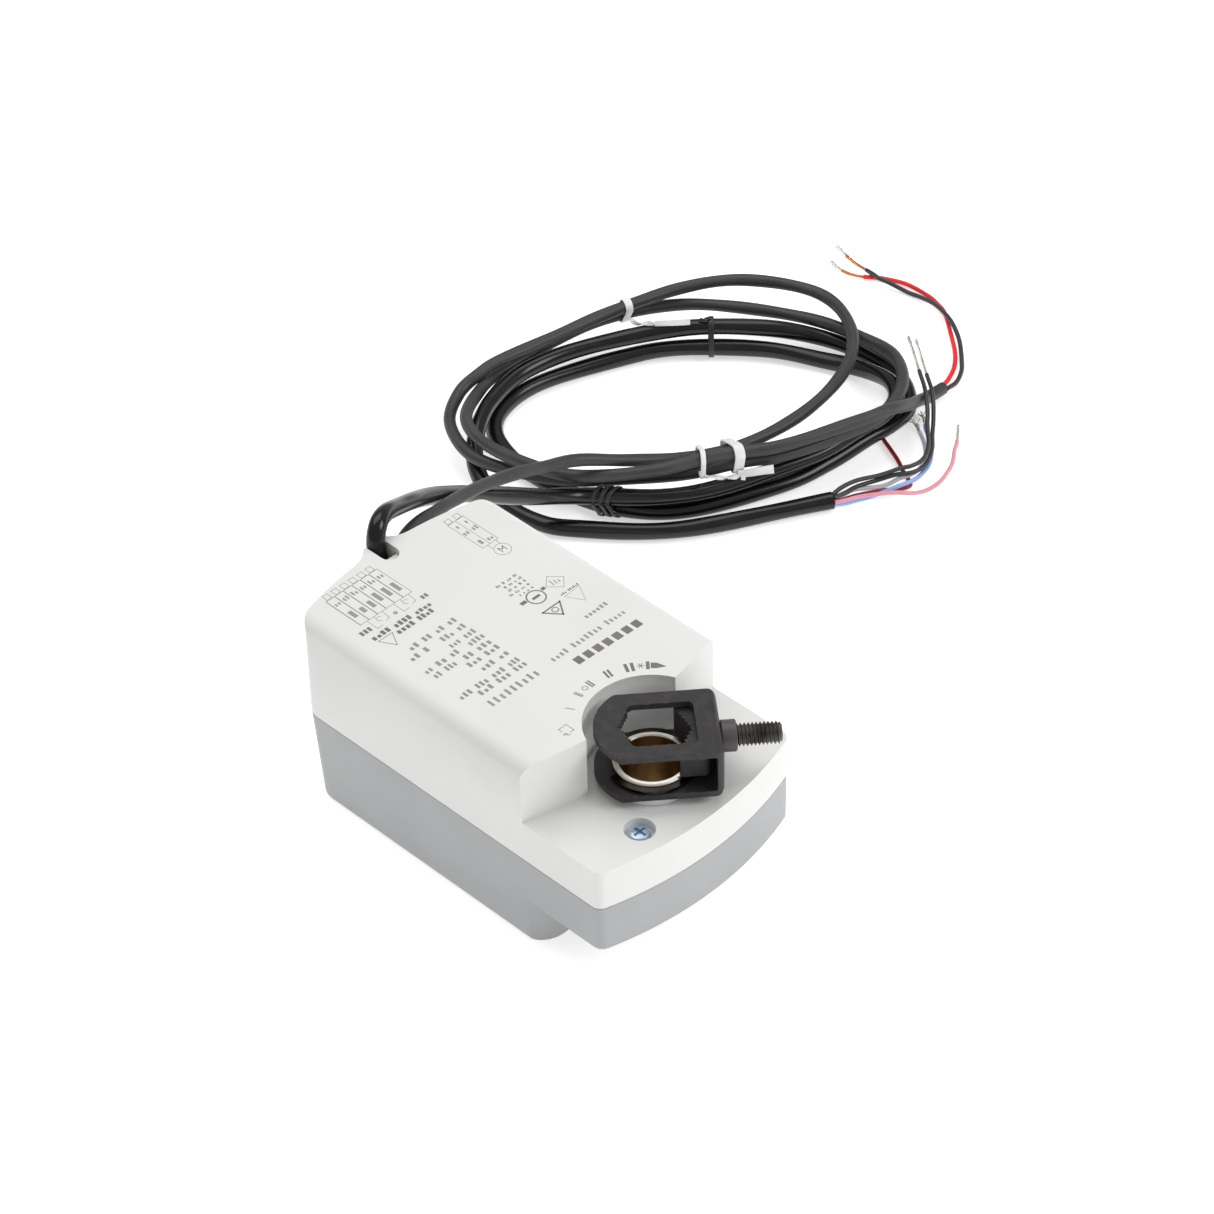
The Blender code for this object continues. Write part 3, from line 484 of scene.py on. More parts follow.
# --------------------------------------------------------------------- cords
# Both cords leave at the cable end, drop to the surface and lie there as a
# loose coil of about three turns. All routes are in mm.
SWITCH_ROUTE = [
    (-0.6, 59.2, 49.4), (-0.6, 59.8, 52.6), (-0.6, 60.7, 56), (-0.6, 61.5, 59), (-0.1, 61.9, 61.7),
    (1.3, 62.7, 63.7), (3.7, 64.1, 64.4), (8, 66.4, 63), (15, 69.6, 58.9), (23.2, 72.6, 54.4),
    (32.5, 76.3, 48.1), (41.2, 79.3, 41.7),
    (52.5, 81.7, 33.8), (76, 83, 18), (87.5, 82, 11.8), (96, 77.5, 9.3), (109, 64, 8.7), (125, 55, 8),
    (152, 45.5, 8.6), (170, 43, 9.6), (180, 42.6, 9), (189.5, 46, 8.2), (194.5, 53, 7.6),
    (196.5, 65, 4.5), (193.5, 78, 2.7), (184.5, 94.5, 3.3), (168, 113, 3.3), (153, 123, 2.6),
    (128.5, 132, 2.6), (112, 131.5, 2.6), (101.5, 124, 2.6), (96.5, 108.5, 2.6), (97, 92, 2.8),
    (102, 73.5, 3.5), (114.5, 60, 2.9), (141.5, 48, 2.6), (159, 44.5, 3), (173, 42.7, 4.2),
    (184, 42.5, 3.6), (194, 45.2, 2.6), (202, 54.5, 2.6), (204.5, 69.5, 2.6), (199.5, 84, 4.5),
    (187, 97, 8.6), (169.5, 114.5, 8.9), (145.5, 129, 8), (124.5, 134.5, 8), (107.5, 131.5, 8),
    (94, 124, 7.5), (86, 116, 4.2), (81.5, 104, 2.7), (82, 88, 2.6), (88, 76.5, 2.6), (108, 55, 2.6),
    (147, 32.5, 2.6),
]
POWER_ROUTE = [
    (9.5, 59.4, 47), (9.5, 62, 47), (10.6, 65, 47.6), (13.6, 67.3, 48.8), (18, 68.4, 49.8),
    (23, 69.1, 49.8), (29, 70.2, 48.4), (36, 72.4, 46), (53, 78, 38.4), (68, 81, 32), (81, 81.5, 26.8),
    (93, 80.5, 22.6), (107, 74.5, 17.6), (120.5, 67.5, 14.2), (137, 59.5, 13.3), (162, 57, 13),
    (186, 62.5, 13), (201.5, 75.5, 13), (206.5, 93, 13), (196.5, 113, 13), (180, 124.5, 13),
    (155, 132, 13), (135, 135.5, 13), (118, 138.7, 13.1), (110, 139.3, 12.2), (101.5, 139, 10),
    (91, 132, 9), (85, 117.5, 9), (88, 103, 9), (98, 88, 8), (113, 74, 8), (123, 64.5, 9),
    (132, 54.5, 13.4), (144, 46.5, 13.8), (170, 39.5, 13.6), (187.5, 43, 13), (200.5, 55.5, 11),
    (203.5, 71, 9), (199, 93.5, 8), (181, 121.5, 8), (158.5, 135, 8), (138.5, 138.5, 8),
    (118.5, 139.3, 8), (106, 135.3, 10), (92.5, 126.5, 13), (88, 115, 13), (88.5, 97.5, 14.5),
    (94, 81.5, 15.6), (109, 66.5, 17.2), (126.5, 57, 17.9), (140.5, 47, 18.3), (165, 38.3, 18.3),
    (174, 36.6, 17.6), (181, 37, 14.8), (188, 39.2, 10.4), (195, 42, 6.2), (201.3, 43.5, 3.2),
    (208.4, 44.2, 1.95),
]
PINK = [
    (146.8, 31.4, 2.6), (150, 29.8, 2.4), (153.5, 28.4, 2.2), (159.5, 24.4, 2.2), (163, 21.6, 2),
    (166, 19.4, 1.2), (169, 17.9, 0.8), (172, 17, 0.8), (176, 17, 0.8), (180, 18, 0.8), (185, 20, 0.8),
    (190, 23.5, 0.8), (193.5, 25.6, 0.8), (199.5, 30.5, 0.8),
]
BLUE = [
    (147.1, 31.9, 1.3), (150, 30.3, 0.9), (153.5, 28.8, 0.8), (157.5, 27, 0.8), (160.5, 25.4, 1.3),
    (163.5, 23.9, 2.1), (166, 22.9, 2.3), (168.3, 22.2, 2.3), (171.5, 21.8, 2.3), (175, 22.3, 2.2),
    (178.8, 23.6, 1.9), (182.8, 26.2, 1.2), (186, 29, 0.8), (188.6, 32, 0.8), (191.5, 36, 0.8),
    (194, 38.5, 0.8), (197, 41.6, 0.8),
]
DARK_RED = [
    (147.9, 33.1, 1.3), (151, 31.8, 0.9), (155, 30.3, 0.8), (161, 27, 0.8), (164.2, 24.6, 0.8),
    (167.2, 22.4, 0.8), (169.4, 22.4, 0.8), (171, 25, 0.8), (172.5, 28, 0.8), (175, 32.2, 0.8),
    (177.5, 37.5, 0.8), (179.5, 42, 0.8), (182.5, 47, 0.8),
]
WHITE = [
    (148.2, 33.6, 2.6), (151.5, 32.4, 2), (155, 31.8, 2), (158, 30.9, 1.3), (161, 29.2, 0.8),
    (164.5, 27.2, 0.8), (168, 25.4, 2.2), (171.5, 24, 2.3), (175.5, 24.2, 2.2), (180, 26.2, 1.9),
    (183.6, 29.2, 1.1), (186.6, 32.5, 0.8), (189.6, 37, 0.8), (191.6, 40, 0.8), (192.6, 41.4, 0.8),
]
BLACK_1 = [
    (147.9, 33.1, 3.9), (151.5, 32.8, 4.6), (156.5, 31.6, 4.8), (163.5, 28.8, 4.2), (168.5, 26, 5.2),
    (171.5, 24.2, 5.4), (175, 23.6, 5.4), (178.5, 24.6, 5.4), (182.5, 27.2, 5.2), (185.5, 30, 5.2),
    (189, 33.4, 5.8), (192, 36, 6.8), (195.5, 39.6, 8.2), (199.5, 44, 8), (204, 49.5, 7),
    (210.5, 57.5, 6), (217, 65.5, 5),
]
BLACK_2 = [
    (147.1, 31.9, 3.9), (151, 31.2, 3.7), (156, 31, 3.2), (162.5, 29.2, 2.6), (167.5, 26, 3.6),
    (170.5, 23.5, 3.8), (174, 22.6, 3.8), (178, 23.4, 3.8), (183.5, 26.6, 3.4), (188, 30.5, 3.4),
    (193, 34.5, 4.2), (197.5, 38.6, 6), (201, 42.4, 6.8), (205.5, 48, 6), (212, 56, 5),
    (218, 63.5, 4.4),
]
POWER_RED = [
    (209, 44.9, 2), (214, 46.8, 1), (219.5, 49.5, 0.8), (225, 54, 0.8), (231.5, 61.5, 0.8),
    (237.5, 69, 0.8), (239.5, 74, 0.8), (240.5, 78.5, 0.8), (240.5, 86.5, 0.8), (238.5, 92.5, 0.8),
    (236.5, 96, 0.8), (234, 99.5, 0.8), (232.4, 103, 0.9), (232, 107, 1), (232.8, 111.5, 1.2),
]
POWER_BLACK = [
    (209, 43.2, 1.9), (214, 44, 0.9), (218.5, 46, 0.8), (222, 48.6, 0.8), (229, 55.6, 1.5),
    (233, 61.6, 2.4), (235.5, 67, 2.5), (237.2, 73, 2.3), (238, 79, 1.2), (237.6, 84, 0.8),
    (236, 90.5, 2.1), (235.4, 93.5, 2.3), (235.6, 96, 2.4), (236.6, 100, 1.6), (237.6, 105.5, 0.9),
    (238.8, 110.5, 0.8), (240.2, 115.5, 0.9),
]


def hollow_end(bm, rings, line, depth):
    """Turns the last ring's flat end into the open end of a jacket, that deep in mm."""
    outer = rings[-1]
    cap = next(f for f in outer[0].link_faces if len(f.verts) == len(outer))
    bm.faces.remove(cap)
    middle, back = line[-1] * MM, (line[-2] - line[-1]).normalized() * depth * MM
    rims = [outer]
    for scale, push in ((0.72, 0.0), (0.7, 1.0)):
        rims.append([bm.verts.new(middle + (v.co - middle) * scale + back * push) for v in outer])
    n = len(outer)
    for near, far in zip(rims, rims[1:]):
        for j in range(n):
            k = (j + 1) % n
            bm.faces.new((near[j], near[k], far[k], far[j]))
    bm.faces.new(rims[-1])


def add_cord(name, route, diameter, material, lay, open_end):
    """A jacket along its route, which ends where the wires come out of it. The wires inside
    show as two low lobes that turn once in every lay mm."""
    line = smooth_route(route, 1.4)
    turn = 2 * math.pi * line_length(line) / lay / (len(line) - 1)
    bm = bmesh.new()
    rings = sweep(bm, line, lobed(diameter / 2, 0.035, 24), twists=[turn * i for i in range(len(line))])
    hollow_end(bm, rings, line, open_end)
    obj = finish_mesh(name + "_jacket", bm, [MATERIALS[material]])
    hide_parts(name)
    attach(obj, "housing")
    return obj, line


def strands(bm, line, radius, count, slots, change, fray):
    """Adds a bundle of bare strands laid round each other, in mm. It takes the second slot past
    the share change of its length, and fray spreads its tips."""
    length = line_length(line)
    thin = radius / (1 + 1 / math.sin(math.pi / (count - 1)))
    around = radius - thin
    frames = axes_along(line)
    places = [(0.0, 0.0)] + [(around, 2 * math.pi * k / (count - 1)) for k in range(count - 1)]
    for which, (out, turn) in enumerate(places):
        lean = random.uniform(-1, 1), random.uniform(-1, 1)
        path, gone = [], 0.0
        for i, (p, (a, b)) in enumerate(zip(line, frames)):
            gone += (p - line[max(i - 1, 0)]).length
            t = turn + gone * 1.1
            spread = fray * (gone / length) ** 2
            x = out * math.cos(t) * (1 + spread) + lean[0] * spread * radius
            y = out * math.sin(t) * (1 + spread) + lean[1] * spread * radius
            q = p + a * x + b * y
            path.append(Vector((q.x, q.y, max(q.z, thin))))
        cut = max(2, round(len(path) * change))
        sweep(bm, path[:cut], circle(thin, 6), slot=slots[0])
        if cut < len(path):
            sweep(bm, path[cut - 1 :], circle(thin * 1.02, 6), slot=slots[1])


def add_wire(name, route, diameter, bare, material, metals, change, fray, exit_from):
    """Insulation along a route, then its bare strands over the last stretch. Sizes in mm."""
    line = smooth_route(route, 0.8)
    length = line_length(line)
    covered, naked = split_line(line, length - bare)
    bm = bmesh.new()
    rings = sweep(bm, covered, circle(diameter / 2, 12))
    hollow_end(bm, rings, covered, 0.5)
    naked = [naked[0] + (covered[-2] - covered[-1]).normalized() * 0.4] + naked[1:]
    strands(bm, naked, diameter * 0.36, 7, (1, 2), change, fray)
    materials = [MATERIALS[material]] + [MATERIALS[m] for m in metals]
    obj = finish_mesh(name + "_strand", bm, materials)
    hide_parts(name)
    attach(obj, "housing")
    return obj


random.seed(11)
# name, route, diameter, bare length, material, metals, where the second metal starts, fray
SWITCH_WIRES = [
    ("switch_wire_pink", PINK, 1.3, 7.5, "wire_pink", ("tinned", "tinned"), 1.0, 0.5),
    ("switch_wire_blue", BLUE, 1.3, 6.0, "wire_blue", ("tinned", "tinned"), 1.0, 2.4),
    ("switch_wire_dark_red", DARK_RED, 1.3, 4.0, "wire_dark_red", ("tinned", "tinned"), 1.0, 0.6),
    ("switch_wire_white", WHITE, 1.3, 6.0, "wire_white", ("tinned", "tinned"), 1.0, 2.8),
    ("switch_wire_black_1", BLACK_1, 1.3, 19.0, "wire_black", ("tinned", "tinned"), 1.0, 0.3),
    ("switch_wire_black_2", BLACK_2, 1.3, 19.0, "wire_black", ("tinned", "tinned"), 1.0, 0.3),
]
POWER_WIRES = [
    ("power_wire_red", POWER_RED, 1.4, 13.0, "wire_red", ("copper", "tinned"), 0.6, 0.3),
    ("power_wire_black", POWER_BLACK, 1.4, 16.0, "wire_black", ("copper", "tinned"), 0.66, 0.3),
]


def add_lead(name, route, diameter, material, lay, wires):
    """A cord and the wires that come out of its far end."""
    jacket_obj, line = add_cord(name, route, diameter, material, lay, 1.6)
    end = route[-1]
    made = [add_wire(*wire, exit_from=end) for wire in wires]
    return made


add_lead("switch_cord", SWITCH_ROUTE, 5.0, "cord_pvc", 75.0, SWITCH_WIRES)
add_lead("power_cord", POWER_ROUTE, 3.7, "cord_rubber", 50.0, POWER_WIRES)


# ---------------------------------------------------------------------- ties
def hull(points):
    """Convex outline of a set of points, anticlockwise."""
    points = sorted(points)
    sides = []
    for ordered in (points, points[::-1]):
        chain = []
        for p in ordered:
            while len(chain) > 1 and (chain[-1][0] - chain[-2][0]) * (p[1] - chain[-2][1]) <= (
                chain[-1][1] - chain[-2][1]
            ) * (p[0] - chain[-2][0]):
                chain.pop()
            chain.append(p)
        sides += chain[:-1]
    return sides


class TieFrame:
    """Places points given as (sideways, height, along) of a bundle in the head's axes, in mm."""

    def __init__(self, centre, heading):
        a = math.radians(heading)
        self.side = Vector((-math.sin(a), math.cos(a), 0))
        self.along = Vector((math.cos(a), math.sin(a), 0))
        self.centre = Vector((*centre, 0))

    def put(self, a, z, b):
        return self.centre + self.side * a + self.along * b + Vector((0, 0, z))

    def loop(self, strand_list, gap, shift=0.0, lean=0.0):
        """A closed line round strands given as (sideways, height, radius), leaning along the bundle."""
        rim = hull([(a + x, z + y) for a, z, r in strand_list for x, y in circle(r + gap, 24)])
        middle = sum(a for a, z, r in strand_list) / len(strand_list)
        return [self.put(a, z, shift + lean * (a - middle)) for a, z in rim]


def even_loop(points, step):
    """A closed line with evenly spaced points, which ends where it starts."""
    closed = points + points[:1]
    length = line_length(closed)
    count = max(12, round(length / step))
    result, gone, k = [], 0.0, 0
    for q, r in zip(closed, closed[1:]):
        gap = (r - q).length
        while k < count and gone + gap >= length * k / count:
            result.append(q + (r - q) * ((length * k / count - gone) / gap))
            k += 1
        gone += gap
    return result


def band(bm, points, width, thickness, along):
    """Adds a flat band along a closed line, wide in the direction along."""
    line = even_loop(points, 0.5)
    n = len(line)
    section = strip(width, thickness)
    rings = []
    for i, p in enumerate(line):
        ahead = (line[(i + 1) % n] - line[i - 1]).normalized()
        wide = (along - ahead * along.dot(ahead)).normalized()
        out = ahead.cross(wide)
        rings.append([bm.verts.new((p + out * x + wide * y) * MM) for x, y in section])
    m = len(section)
    for i in range(n):
        near, far = rings[i], rings[(i + 1) % n]
        for j in range(m):
            k = (j + 1) % m
            bm.faces.new((near[j], near[k], far[k], far[j]))


def ribbon(bm, points, width, thickness, start, turns=0.0, taper=1.0):
    """Adds a strip along an open route, twisted by that many turns."""
    line = smooth_route(points, 0.35)
    last = len(line) - 1
    twists = [2 * math.pi * turns * i / last for i in range(last + 1)]
    scales = [1.0 + (taper - 1.0) * i / last for i in range(last + 1)]
    sweep(bm, line, strip(width, thickness), scales, twists, start)


def add_tie(name, bm, material):
    obj = finish_mesh(name + "_wrap", bm, [MATERIALS[material]])
    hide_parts(name)
    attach(obj, "housing")


def tie_white_front():
    place = TieFrame((133, 56), -33)
    strands3 = [(5.1, 13.35, 2.3), (-1.57, 12.85, 2.15), (-3.25, 18.1, 1.95)]
    bm = bmesh.new()
    band(bm, place.loop(strands3, 0.35, shift=-1.5, lean=-0.1), 3.0, 0.5, place.along)
    inner = [(-1.9, 13.0, 2.2), (-3.4, 18.3, 2.0), (4.4, 13.4, 2.2)]
    band(bm, place.loop(inner, 0.35, shift=-11.2, lean=0.1), 1.5, 0.5, place.along)
    front = place.side * -1
    twisted = [(-4.9, 12.4, -11.0), (-5.4, 12.2, -8.4), (-5.6, 11.6, -5.8)]
    twisted += [(-5.2, 11.0, -3.4), (-4.9, 10.7, -1.2)]
    ribbon(bm, [place.put(*q) for q in twisted], 1.5, 0.45, front, turns=1.0)
    hook = [(-4.9, 10.8, -4.0), (-5.6, 8.8, -2.8), (-5.9, 7.9, -1.5), (-5.6, 9.4, -0.3), (-5.0, 12.2, 0.2)]
    ribbon(bm, [place.put(*q) for q in hook], 1.4, 0.45, front)
    tail = [(-4.8, 11.6, -1.4), (-5.6, 12.0, 1.6), (-6.2, 12.6, 5.0), (-6.6, 12.9, 8.6)]
    ribbon(bm, [place.put(*q) for q in tail], 2.6, 0.45, front, taper=1.25)
    add_tie("tie_white_front", bm, "tie_white")


def tie_white_top():
    place = TieFrame((163, 131), -20)
    bm = bmesh.new()
    band(bm, place.loop([(-0.9, 13, 1.85), (1.9, 8, 1.85)], 0.4), 2.4, 0.45, place.along)
    front = place.side * -1
    twisted = [(-3.0, 9.8, 0.0), (-6.5, 10.2, 0.4), (-9.5, 11.7, 1.9), (-11.8, 12.4, 4.1)]
    ribbon(bm, [place.put(*q) for q in twisted], 1.5, 0.42, front, turns=1.0)
    tail = [(-11.8, 12.4, 4.1), (-13.2, 12.6, 6.8), (-14.3, 12.5, 9.6), (-15.6, 12.3, 13.9)]
    ribbon(bm, [place.put(*q) for q in tail], 2.0, 0.42, front, taper=1.2)
    add_tie("tie_white_top", bm, "tie_white")


def tie_black_front():
    place = TieFrame((101, 76), -55)
    pair = [(-2.7, 9.15, 2.7), (0, 3.6, 2.75)]
    bm = bmesh.new()
    for shift, lean in ((-2.2, 0.55), (0.0, 0.5), (2.2, 0.55)):
        band(bm, place.loop(pair, 0.3, shift, lean), 1.2, 0.6, place.along)
    front = place.side * -1
    knot = [(-5.4, 8.6, -0.4), (-6.4, 7.8, 0.8), (-6.8, 6.6, 2.2), (-6.6, 5.2, 3.4)]
    ribbon(bm, [place.put(*q) for q in knot], 1.1, 0.5, front, turns=1.5)
    add_tie("tie_black_front", bm, "tie_black")


def tie_black_top():
    place = TieFrame((176, 108), -45)
    bm = bmesh.new()
    band(bm, place.loop([(-2.2, 3.45, 2.5), (0.5, 9.05, 2.5)], 0.35), 1.7, 0.6, place.along)
    knot = [(0.3, 11.9, -0.2), (-0.3, 12.5, -1.2), (-0.4, 12.3, -2.6), (0.2, 11.8, -3.4)]
    ribbon(bm, [place.put(*q) for q in knot], 1.3, 0.6, Vector((0, 0, 1)), turns=1.0)
    add_tie("tie_black_top", bm, "tie_black")


tie_white_front()
tie_white_top()
tie_black_front()
tie_black_top()


# ---------------------------------------------------------------- clamp screw
def thread_radius(phase):
    """Radius in mm of an M6 x 1 thread at that share of its pitch."""
    root, crest = 2.42, 2.98
    knots = ((0.0, root), (0.14, root), (0.44, crest), (0.58, crest), (0.88, root), (1.0, root))
    for (p, r), (q, s) in zip(knots, knots[1:]):
        if phase <= q:
            return r + (s - r) * (phase - p) / (q - p)
    return root


def clamp_screw():
    """The screw with a helical thread over its whole length, a chamfer at each end and a hex
    socket at its outer end."""
    low, high, pitch, count, rows = 11.4, 33.0, 1.0, 40, 10
    socket_flat, socket_depth = 1.5, 3.2
    along = Vector((math.cos(CLAMP_ANGLE), math.sin(CLAMP_ANGLE), 0))
    side = Vector((-along.y, along.x, 0))
    origin = Vector((*HUB, SCREW_Z))

    def point(u, radius, turn):
        out = side * math.cos(turn) + Vector((0, 0, 1)) * math.sin(turn)
        return bm.verts.new((origin + along * u + out * radius) * MM)

    bm = bmesh.new()
    rings = []
    total = round((high - low) / pitch * rows)
    for i in range(total + 1):
        u = low + (high - low) * i / total
        chamfer = 2.15 + min(u - low, high - u) * 1.1
        ring = []
        for j in range(count):
            radius = min(thread_radius((u / pitch - j / count) % 1.0), chamfer)
            ring.append(point(u, radius, 2 * math.pi * j / count))
        rings.append(ring)
    for u in (high, high - socket_depth):
        ring = []
        for j in range(count):
            turn = 2 * math.pi * j / count
            from_flat = (turn + math.pi / 6) % (math.pi / 3) - math.pi / 6
            ring.append(point(u, socket_flat / math.cos(from_flat), turn))
        rings.append(ring)
    for near, far in zip(rings, rings[1:]):
        for j in range(count):
            k = (j + 1) % count
            bm.faces.new((near[j], near[k], far[k], far[j]))
    bm.faces.new(rings[0])
    bm.faces.new(rings[-1])
    obj = finish_mesh("clamp_screw_threaded", bm, [MATERIALS["thread_black"]])
    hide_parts("clamp_screw")
    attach(obj, "screw")


clamp_screw()


# --------------------------------------------------------------------- print
class Print:
    """Thin ink marks on the high deck, in mm."""

    low, high = DECK - 0.01, DECK + 0.02

    def __init__(self):
        self.bm = bmesh.new()

    def patch(self, corners):
        """A flat mark with these corners."""
        bottom = [self.bm.verts.new(Vector((x, y, self.low)) * MM) for x, y in corners]
        top = [self.bm.verts.new(Vector((x, y, self.high)) * MM) for x, y in corners]
        self.bm.faces.new(bottom)
        self.bm.faces.new(top)
        n = len(corners)
        for i in range(n):
            k = (i + 1) % n
            self.bm.faces.new((bottom[i], bottom[k], top[k], top[i]))

    def block(self, x, y, width, height):
        """A filled rectangle about a centre."""
        a, b = width / 2, height / 2
        self.patch([(x - a, y - b), (x + a, y - b), (x + a, y + b), (x - a, y + b)])

    def lines(self, points, width, closed=False):
        """Strokes of that width from point to point."""
        points = [Vector(p) for p in points]
        pairs = list(zip(points, points[1:] + points[:1]))
        for a, b in pairs if closed else pairs[:-1]:
            ahead = (b - a).normalized() * width / 2
            across = Vector((-ahead.y, ahead.x))
            a, b = a - ahead, b + ahead
            self.patch([a + across, a - across, b - across, b + across])

    def ring(self, x, y, radius, width, count=28):
        """A circle drawn as a line."""
        inner = [(x + p, y + q) for p, q in circle(radius - width / 2, count)]
        outer = [(x + p, y + q) for p, q in circle(radius + width / 2, count)]
        for i in range(count):
            k = (i + 1) % count
            self.patch([inner[i], inner[k], outer[k], outer[i]])

    def row(self, x0, x1, y, height, words, ink=0.5):
        """A row of small blocks in groups, which stands for a line of print and says nothing."""
        pitch = height * 0.78
        weights = [random.uniform(0.8, 1.5) for _ in range(words)]
        gap = pitch * 0.9
        room = abs(x1 - x0) - gap * (words - 1)
        x = max(x0, x1)
        for weight in weights:
            wide = room * weight / sum(weights)
            count = max(1, round(wide / pitch))
            step = wide / count
            for k in range(count):
                tall = height * random.choice((1.0, 0.78, 0.78, 1.0, 0.6))
                self.block(x - step * (k + 0.5), y - (height - tall) / 2, step * ink, tall)
            x -= wide + gap

    def done(self, name, material):
        obj = finish_mesh(name, self.bm, [MATERIALS[material]], smooth=False)
        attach(obj, "housing")


def around_hub(degrees, radius):
    turn = math.radians(degrees)
    return HUB[0] + radius * math.cos(turn), HUB[1] + radius * math.sin(turn)


MARK_RADIUS = 21.1  # middle of the position scale, around the hub
BAR_SPACING = 1.75  # of twin bars, as a share of their width
DEGREES_PER_RADIAN = 57.3


def scale_marks():
    """The position scale along the recess: bars that grow thicker towards an arrow head."""
    ink = Print()
    inner, outer = 19.9, 22.2
    marks = ((120.6, 1, 0.22), (105.0, 2, 0.3), (91.5, 2, 0.42), (75.6, 2, 0.62), (59.5, 2, 0.9))
    for degrees, bars, width in marks:
        apart = width * BAR_SPACING / MARK_RADIUS * DEGREES_PER_RADIAN
        for k in range(bars):
            middle = degrees + (k - (bars - 1) / 2) * apart
            ink.lines([around_hub(middle, inner), around_hub(middle, outer)], width)
    ink.ring(*around_hub(97.2, 21.0), 0.75, 0.2, 14)
    for k in range(3):
        x, y = around_hub(51.6, MARK_RADIUS)
        turn = math.radians(60 * k + 20)
        reach = 0.95
        ink.lines(
            [
                (x - reach * math.cos(turn), y - reach * math.sin(turn)),
                (x + reach * math.cos(turn), y + reach * math.sin(turn)),
            ],
            0.2,
        )
    ink.lines([around_hub(46.6, inner + 0.2), around_hub(46.6, outer - 0.1)], 0.95)
    head = [around_hub(a, 22.1) for a in (44.6, 42.6, 40.6)] + [around_hub(33.4, 21.0)]
    head += [around_hub(a, 20.0) for a in (40.6, 42.6, 44.6)]
    ink.patch(head)
    ink.done("print_scale", "print_ink")
    faint = Print()
    x, y = around_hub(142.3, 21.4)
    frame_line = [(x - 1.2, y + 0.4), (x - 1.2, y + 1.6), (x + 1.4, y + 1.6)]
    frame_line += [(x + 1.4, y - 1.2), (x + 0.2, y - 1.2)]
    faint.lines(frame_line, 0.2)
    faint.lines([(x - 1.9, y - 1.0), (x - 1.3, y - 0.5), (x - 0.7, y - 1.1)], 0.22)
    faint.lines([(x - 1.3, y - 0.5), (x - 1.0, y - 1.5), (x - 0.4, y - 1.8)], 0.2)
    faint.done("print_scale_icon", "print_light")


def wiring_diagrams():
    """Two block diagrams of the leads at the cable end."""
    ink = Print()
    thin = 0.16
    left, right, pitch = -25.3, -7.15, 3.025
    for k in range(6):
        x0 = right - pitch * (k + 1)
        ink.lines([(x0, 40.8), (x0 + pitch, 40.8), (x0 + pitch, 54.0), (x0, 54.0)], thin, closed=True)
        ink.lines([(x0 + 0.7, 54.2), (x0 + 0.7, 56.2), (x0 + 2.4, 56.2), (x0 + 2.4, 54.2)], thin, closed=True)
        ink.row(x0 + 0.5, x0 + pitch - 0.5, 51.4, 1.7, 1, 0.55)
        ink.row(x0 + 0.3, x0 + pitch - 0.2, 45.3 + 0.25 * (k % 3), 3.9, 1, 0.5)
    ink.lines([(left, 40.8), (left, 54.0)], thin)
    for x in (-11.4, -20.7):
        ink.lines([(x + 2.9, 40.6), (x + 2.6, 37.6), (x + 1.2, 37.3)], thin)
        ink.lines([(x, 40.6), (x - 0.3, 38.8), (x + 0.6, 38.1)], thin)
        ink.lines([(x - 2.4, 40.6), (x - 2.4, 36.6), (x - 0.5, 36.7)], thin)
        ink.lines([(x + 1.4, 39.6), (x + 0.2, 39.9)], thin)
    ink.ring(-15.8, 37.8, 0.4, 0.5, 12)
    ink.lines([(17.7, 39.9), (23.3, 39.9), (23.3, 53.2), (17.7, 53.2)], thin, closed=True)
    ink.lines([(20.4, 39.9), (20.4, 53.2)], thin)
    for x in (22.1, 18.9):
        ink.lines([(x - 0.85, 53.4), (x - 0.85, 55.2), (x + 0.85, 55.2), (x + 0.85, 53.4)], thin, closed=True)
        ink.row(x - 0.5, x + 0.7, 51.0, 1.5, 1, 0.5)
        ink.row(x - 1.0, x + 1.0, 47.6, 1.7, 1, 0.6)
    ink.row(20.9, 22.9, 41.6, 1.6, 1, 0.6)
    ink.row(18.2, 20.0, 42.4, 2.4, 1, 0.5)
    ink.lines([(22.3, 39.9), (22.3, 38.0)], thin)
    ink.lines([(19.4, 39.9), (19.4, 38.0)], thin)
    ink.ring(21.1, 35.9, 2.35, thin)
    ink.lines([(20.3, 35.0), (20.3, 36.9), (21.1, 35.9), (21.9, 36.9), (21.9, 35.0)], 0.3)
    ink.done("print_diagrams", "print_light")


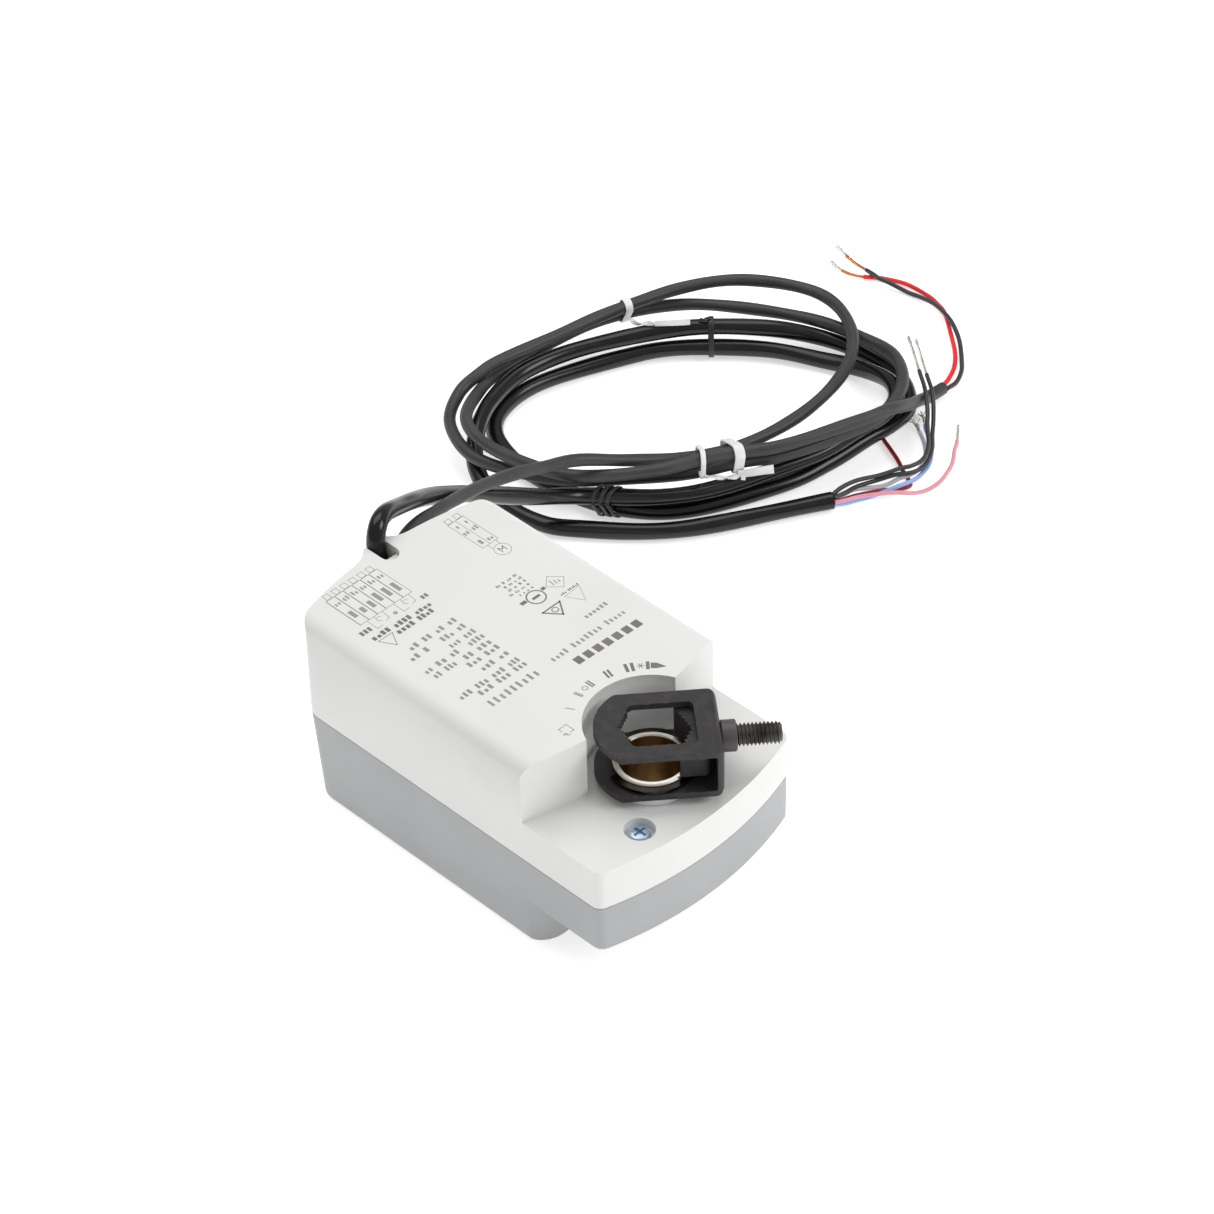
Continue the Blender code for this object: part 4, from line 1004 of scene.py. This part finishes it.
def text_rows():
    """Rows of blocks where the head carries its data, with generic marks in place of approval signs."""
    bold = Print()
    for x0, x1, y, words in ((-6.9, -19.8, 34.1, 2), (-8.2, -21.0, 31.8, 2), (-20.9, -27.2, 34.5, 1)):
        bold.row(x0, x1, y, 1.8, words, 0.68)
    bold.row(-4.9, -7.3, 37.4, 1.9, 1, 0.66)
    bold.row(-24.1, -28.1, 38.0, 1.7, 1, 0.66)
    for k in range(7):
        bold.block(24.0 - 3.35 * k, -10.4 + 0.15 * k, 2.3, 2.7)
    bold.lines([(-21.6, 32.8), (-26.5, 32.8), (-24.0, 28.4)], 0.18, closed=True)
    bold.ring(13.6, 15.8, 2.6, 0.4)
    bold.block(13.6, 15.8, 2.6, 0.9)
    bold.block(17.2, 16.9, 1.3, 1.1)
    bold.block(9.7, 16.5, 1.9, 1.2)
    bold.lines([(16.6, 10.2), (10.3, 10.1), (13.7, 5.9)], 0.45, closed=True)
    bold.ring(13.5, 8.7, 0.9, 0.28, 16)
    bold.row(24.9, 18.4, 11.7, 0.8, 2, 0.6)
    bold.done("print_bold", "print_ink")
    plain = Print()
    rows = (
        (-6.6, -23.3, 24.9, 4),
        (-6.6, -15.2, 21.5, 2),
        (-19.2, -26.0, 21.7, 2),
        (-6.2, -15.4, 18.2, 2),
        (-6.0, -11.5, 15.2, 1),
        (-14.7, -26.7, 15.5, 3),
        (-6.3, -16.0, 12.2, 2),
        (-18.3, -26.2, 12.6, 2),
        (-6.2, -17.4, 9.4, 2),
        (-6.2, -16.0, 6.0, 2),
        (-6.2, -27.4, 2.1, 4),
        (-6.0, -22.9, -0.3, 3),
        (24.7, 16.4, 1.2, 1),
    )
    for x0, x1, y, words in rows:
        plain.row(x0, x1, y, 1.9, words, 0.56)
    plain.row(-6.2, -24.0, -5.0, 2.5, 1, 0.4)
    plain.row(25.5, -1.3, -4.5, 1.9, 3, 0.45)
    for k, (x0, x1) in enumerate(((16.3, 9.0), (16.6, 10.3), (16.5, 10.2), (16.3, 9.1), (16.0, 11.0))):
        plain.row(x0, x1, 26.0 - 1.65 * k, 1.0, 4, 0.68)
    plain.lines([(21.2, 19.6), (24.3, 16.4), (21.4, 13.4), (18.2, 16.8)], 0.16, closed=True)
    for k in range(3):
        plain.lines([(20.2 + k, 15.9 - 0.1 * k), (20.4 + k, 17.9 - 0.7 * k)], 0.3)
    plain.lines([(24.6, 11.0), (18.8, 10.5), (21.6, 5.6)], 0.13, closed=True)
    plain.done("print_rows", "print_light")


scale_marks()
wiring_diagrams()
text_rows()


# ------------------------------------------------------------ floor and light
def emission_floor():
    material = bpy.data.materials.new("floor")
    material.use_nodes = True
    shader = material.node_tree.nodes["Principled BSDF"]
    shader.inputs["Base Color"].default_value = (0.9, 0.9, 0.9, 1.0)
    shader.inputs["Roughness"].default_value = 0.9
    shader.inputs["Specular IOR Level"].default_value = 0.1
    shader.inputs["Emission Color"].default_value = (1.0, 1.0, 1.0, 1.0)
    shader.inputs["Emission Strength"].default_value = FLOOR_GLOW
    return material


def add_floor():
    half, drop = 3.0, 0.0002
    mesh = bpy.data.meshes.new("floor")
    corners = [(-half, -half, -drop), (half, -half, -drop), (half, half, -drop), (-half, half, -drop)]
    mesh.from_pydata(corners, [], [(0, 1, 2, 3)])
    mesh.materials.append(emission_floor())
    floor = bpy.data.objects.new("floor", mesh)
    bpy.context.collection.objects.link(floor)


def add_light(name, place, size, power):
    """A rectangular softbox aimed at the head."""
    data = bpy.data.lights.new(name, "AREA")
    data.shape = "RECTANGLE"
    data.size, data.size_y = size
    data.energy = power
    light = bpy.data.objects.new(name, data)
    place = Vector(place)
    light.location = place
    aim = Vector((0.04, 0.02, 0.03)) - place
    light.rotation_euler = aim.to_track_quat("-Z", "Y").to_euler()
    bpy.context.collection.objects.link(light)


def add_world():
    world = bpy.data.worlds.new("studio")
    world.use_nodes = True
    world.node_tree.nodes["Background"].inputs["Color"].default_value = (1.0, 1.0, 1.0, 1.0)
    world.node_tree.nodes["Background"].inputs["Strength"].default_value = WORLD_STRENGTH
    bpy.context.scene.world = world


FLOOR_GLOW = 0.52
WORLD_STRENGTH = 0.45
add_world()
add_floor()
add_light("key", (0.9, -1.3, 1.2), (0.9, 0.9), 13.8)
add_light("top", (0.25, 0.55, 1.6), (1.9, 1.2), 15.4)
bpy.context.scene.view_settings.view_transform = "Standard"
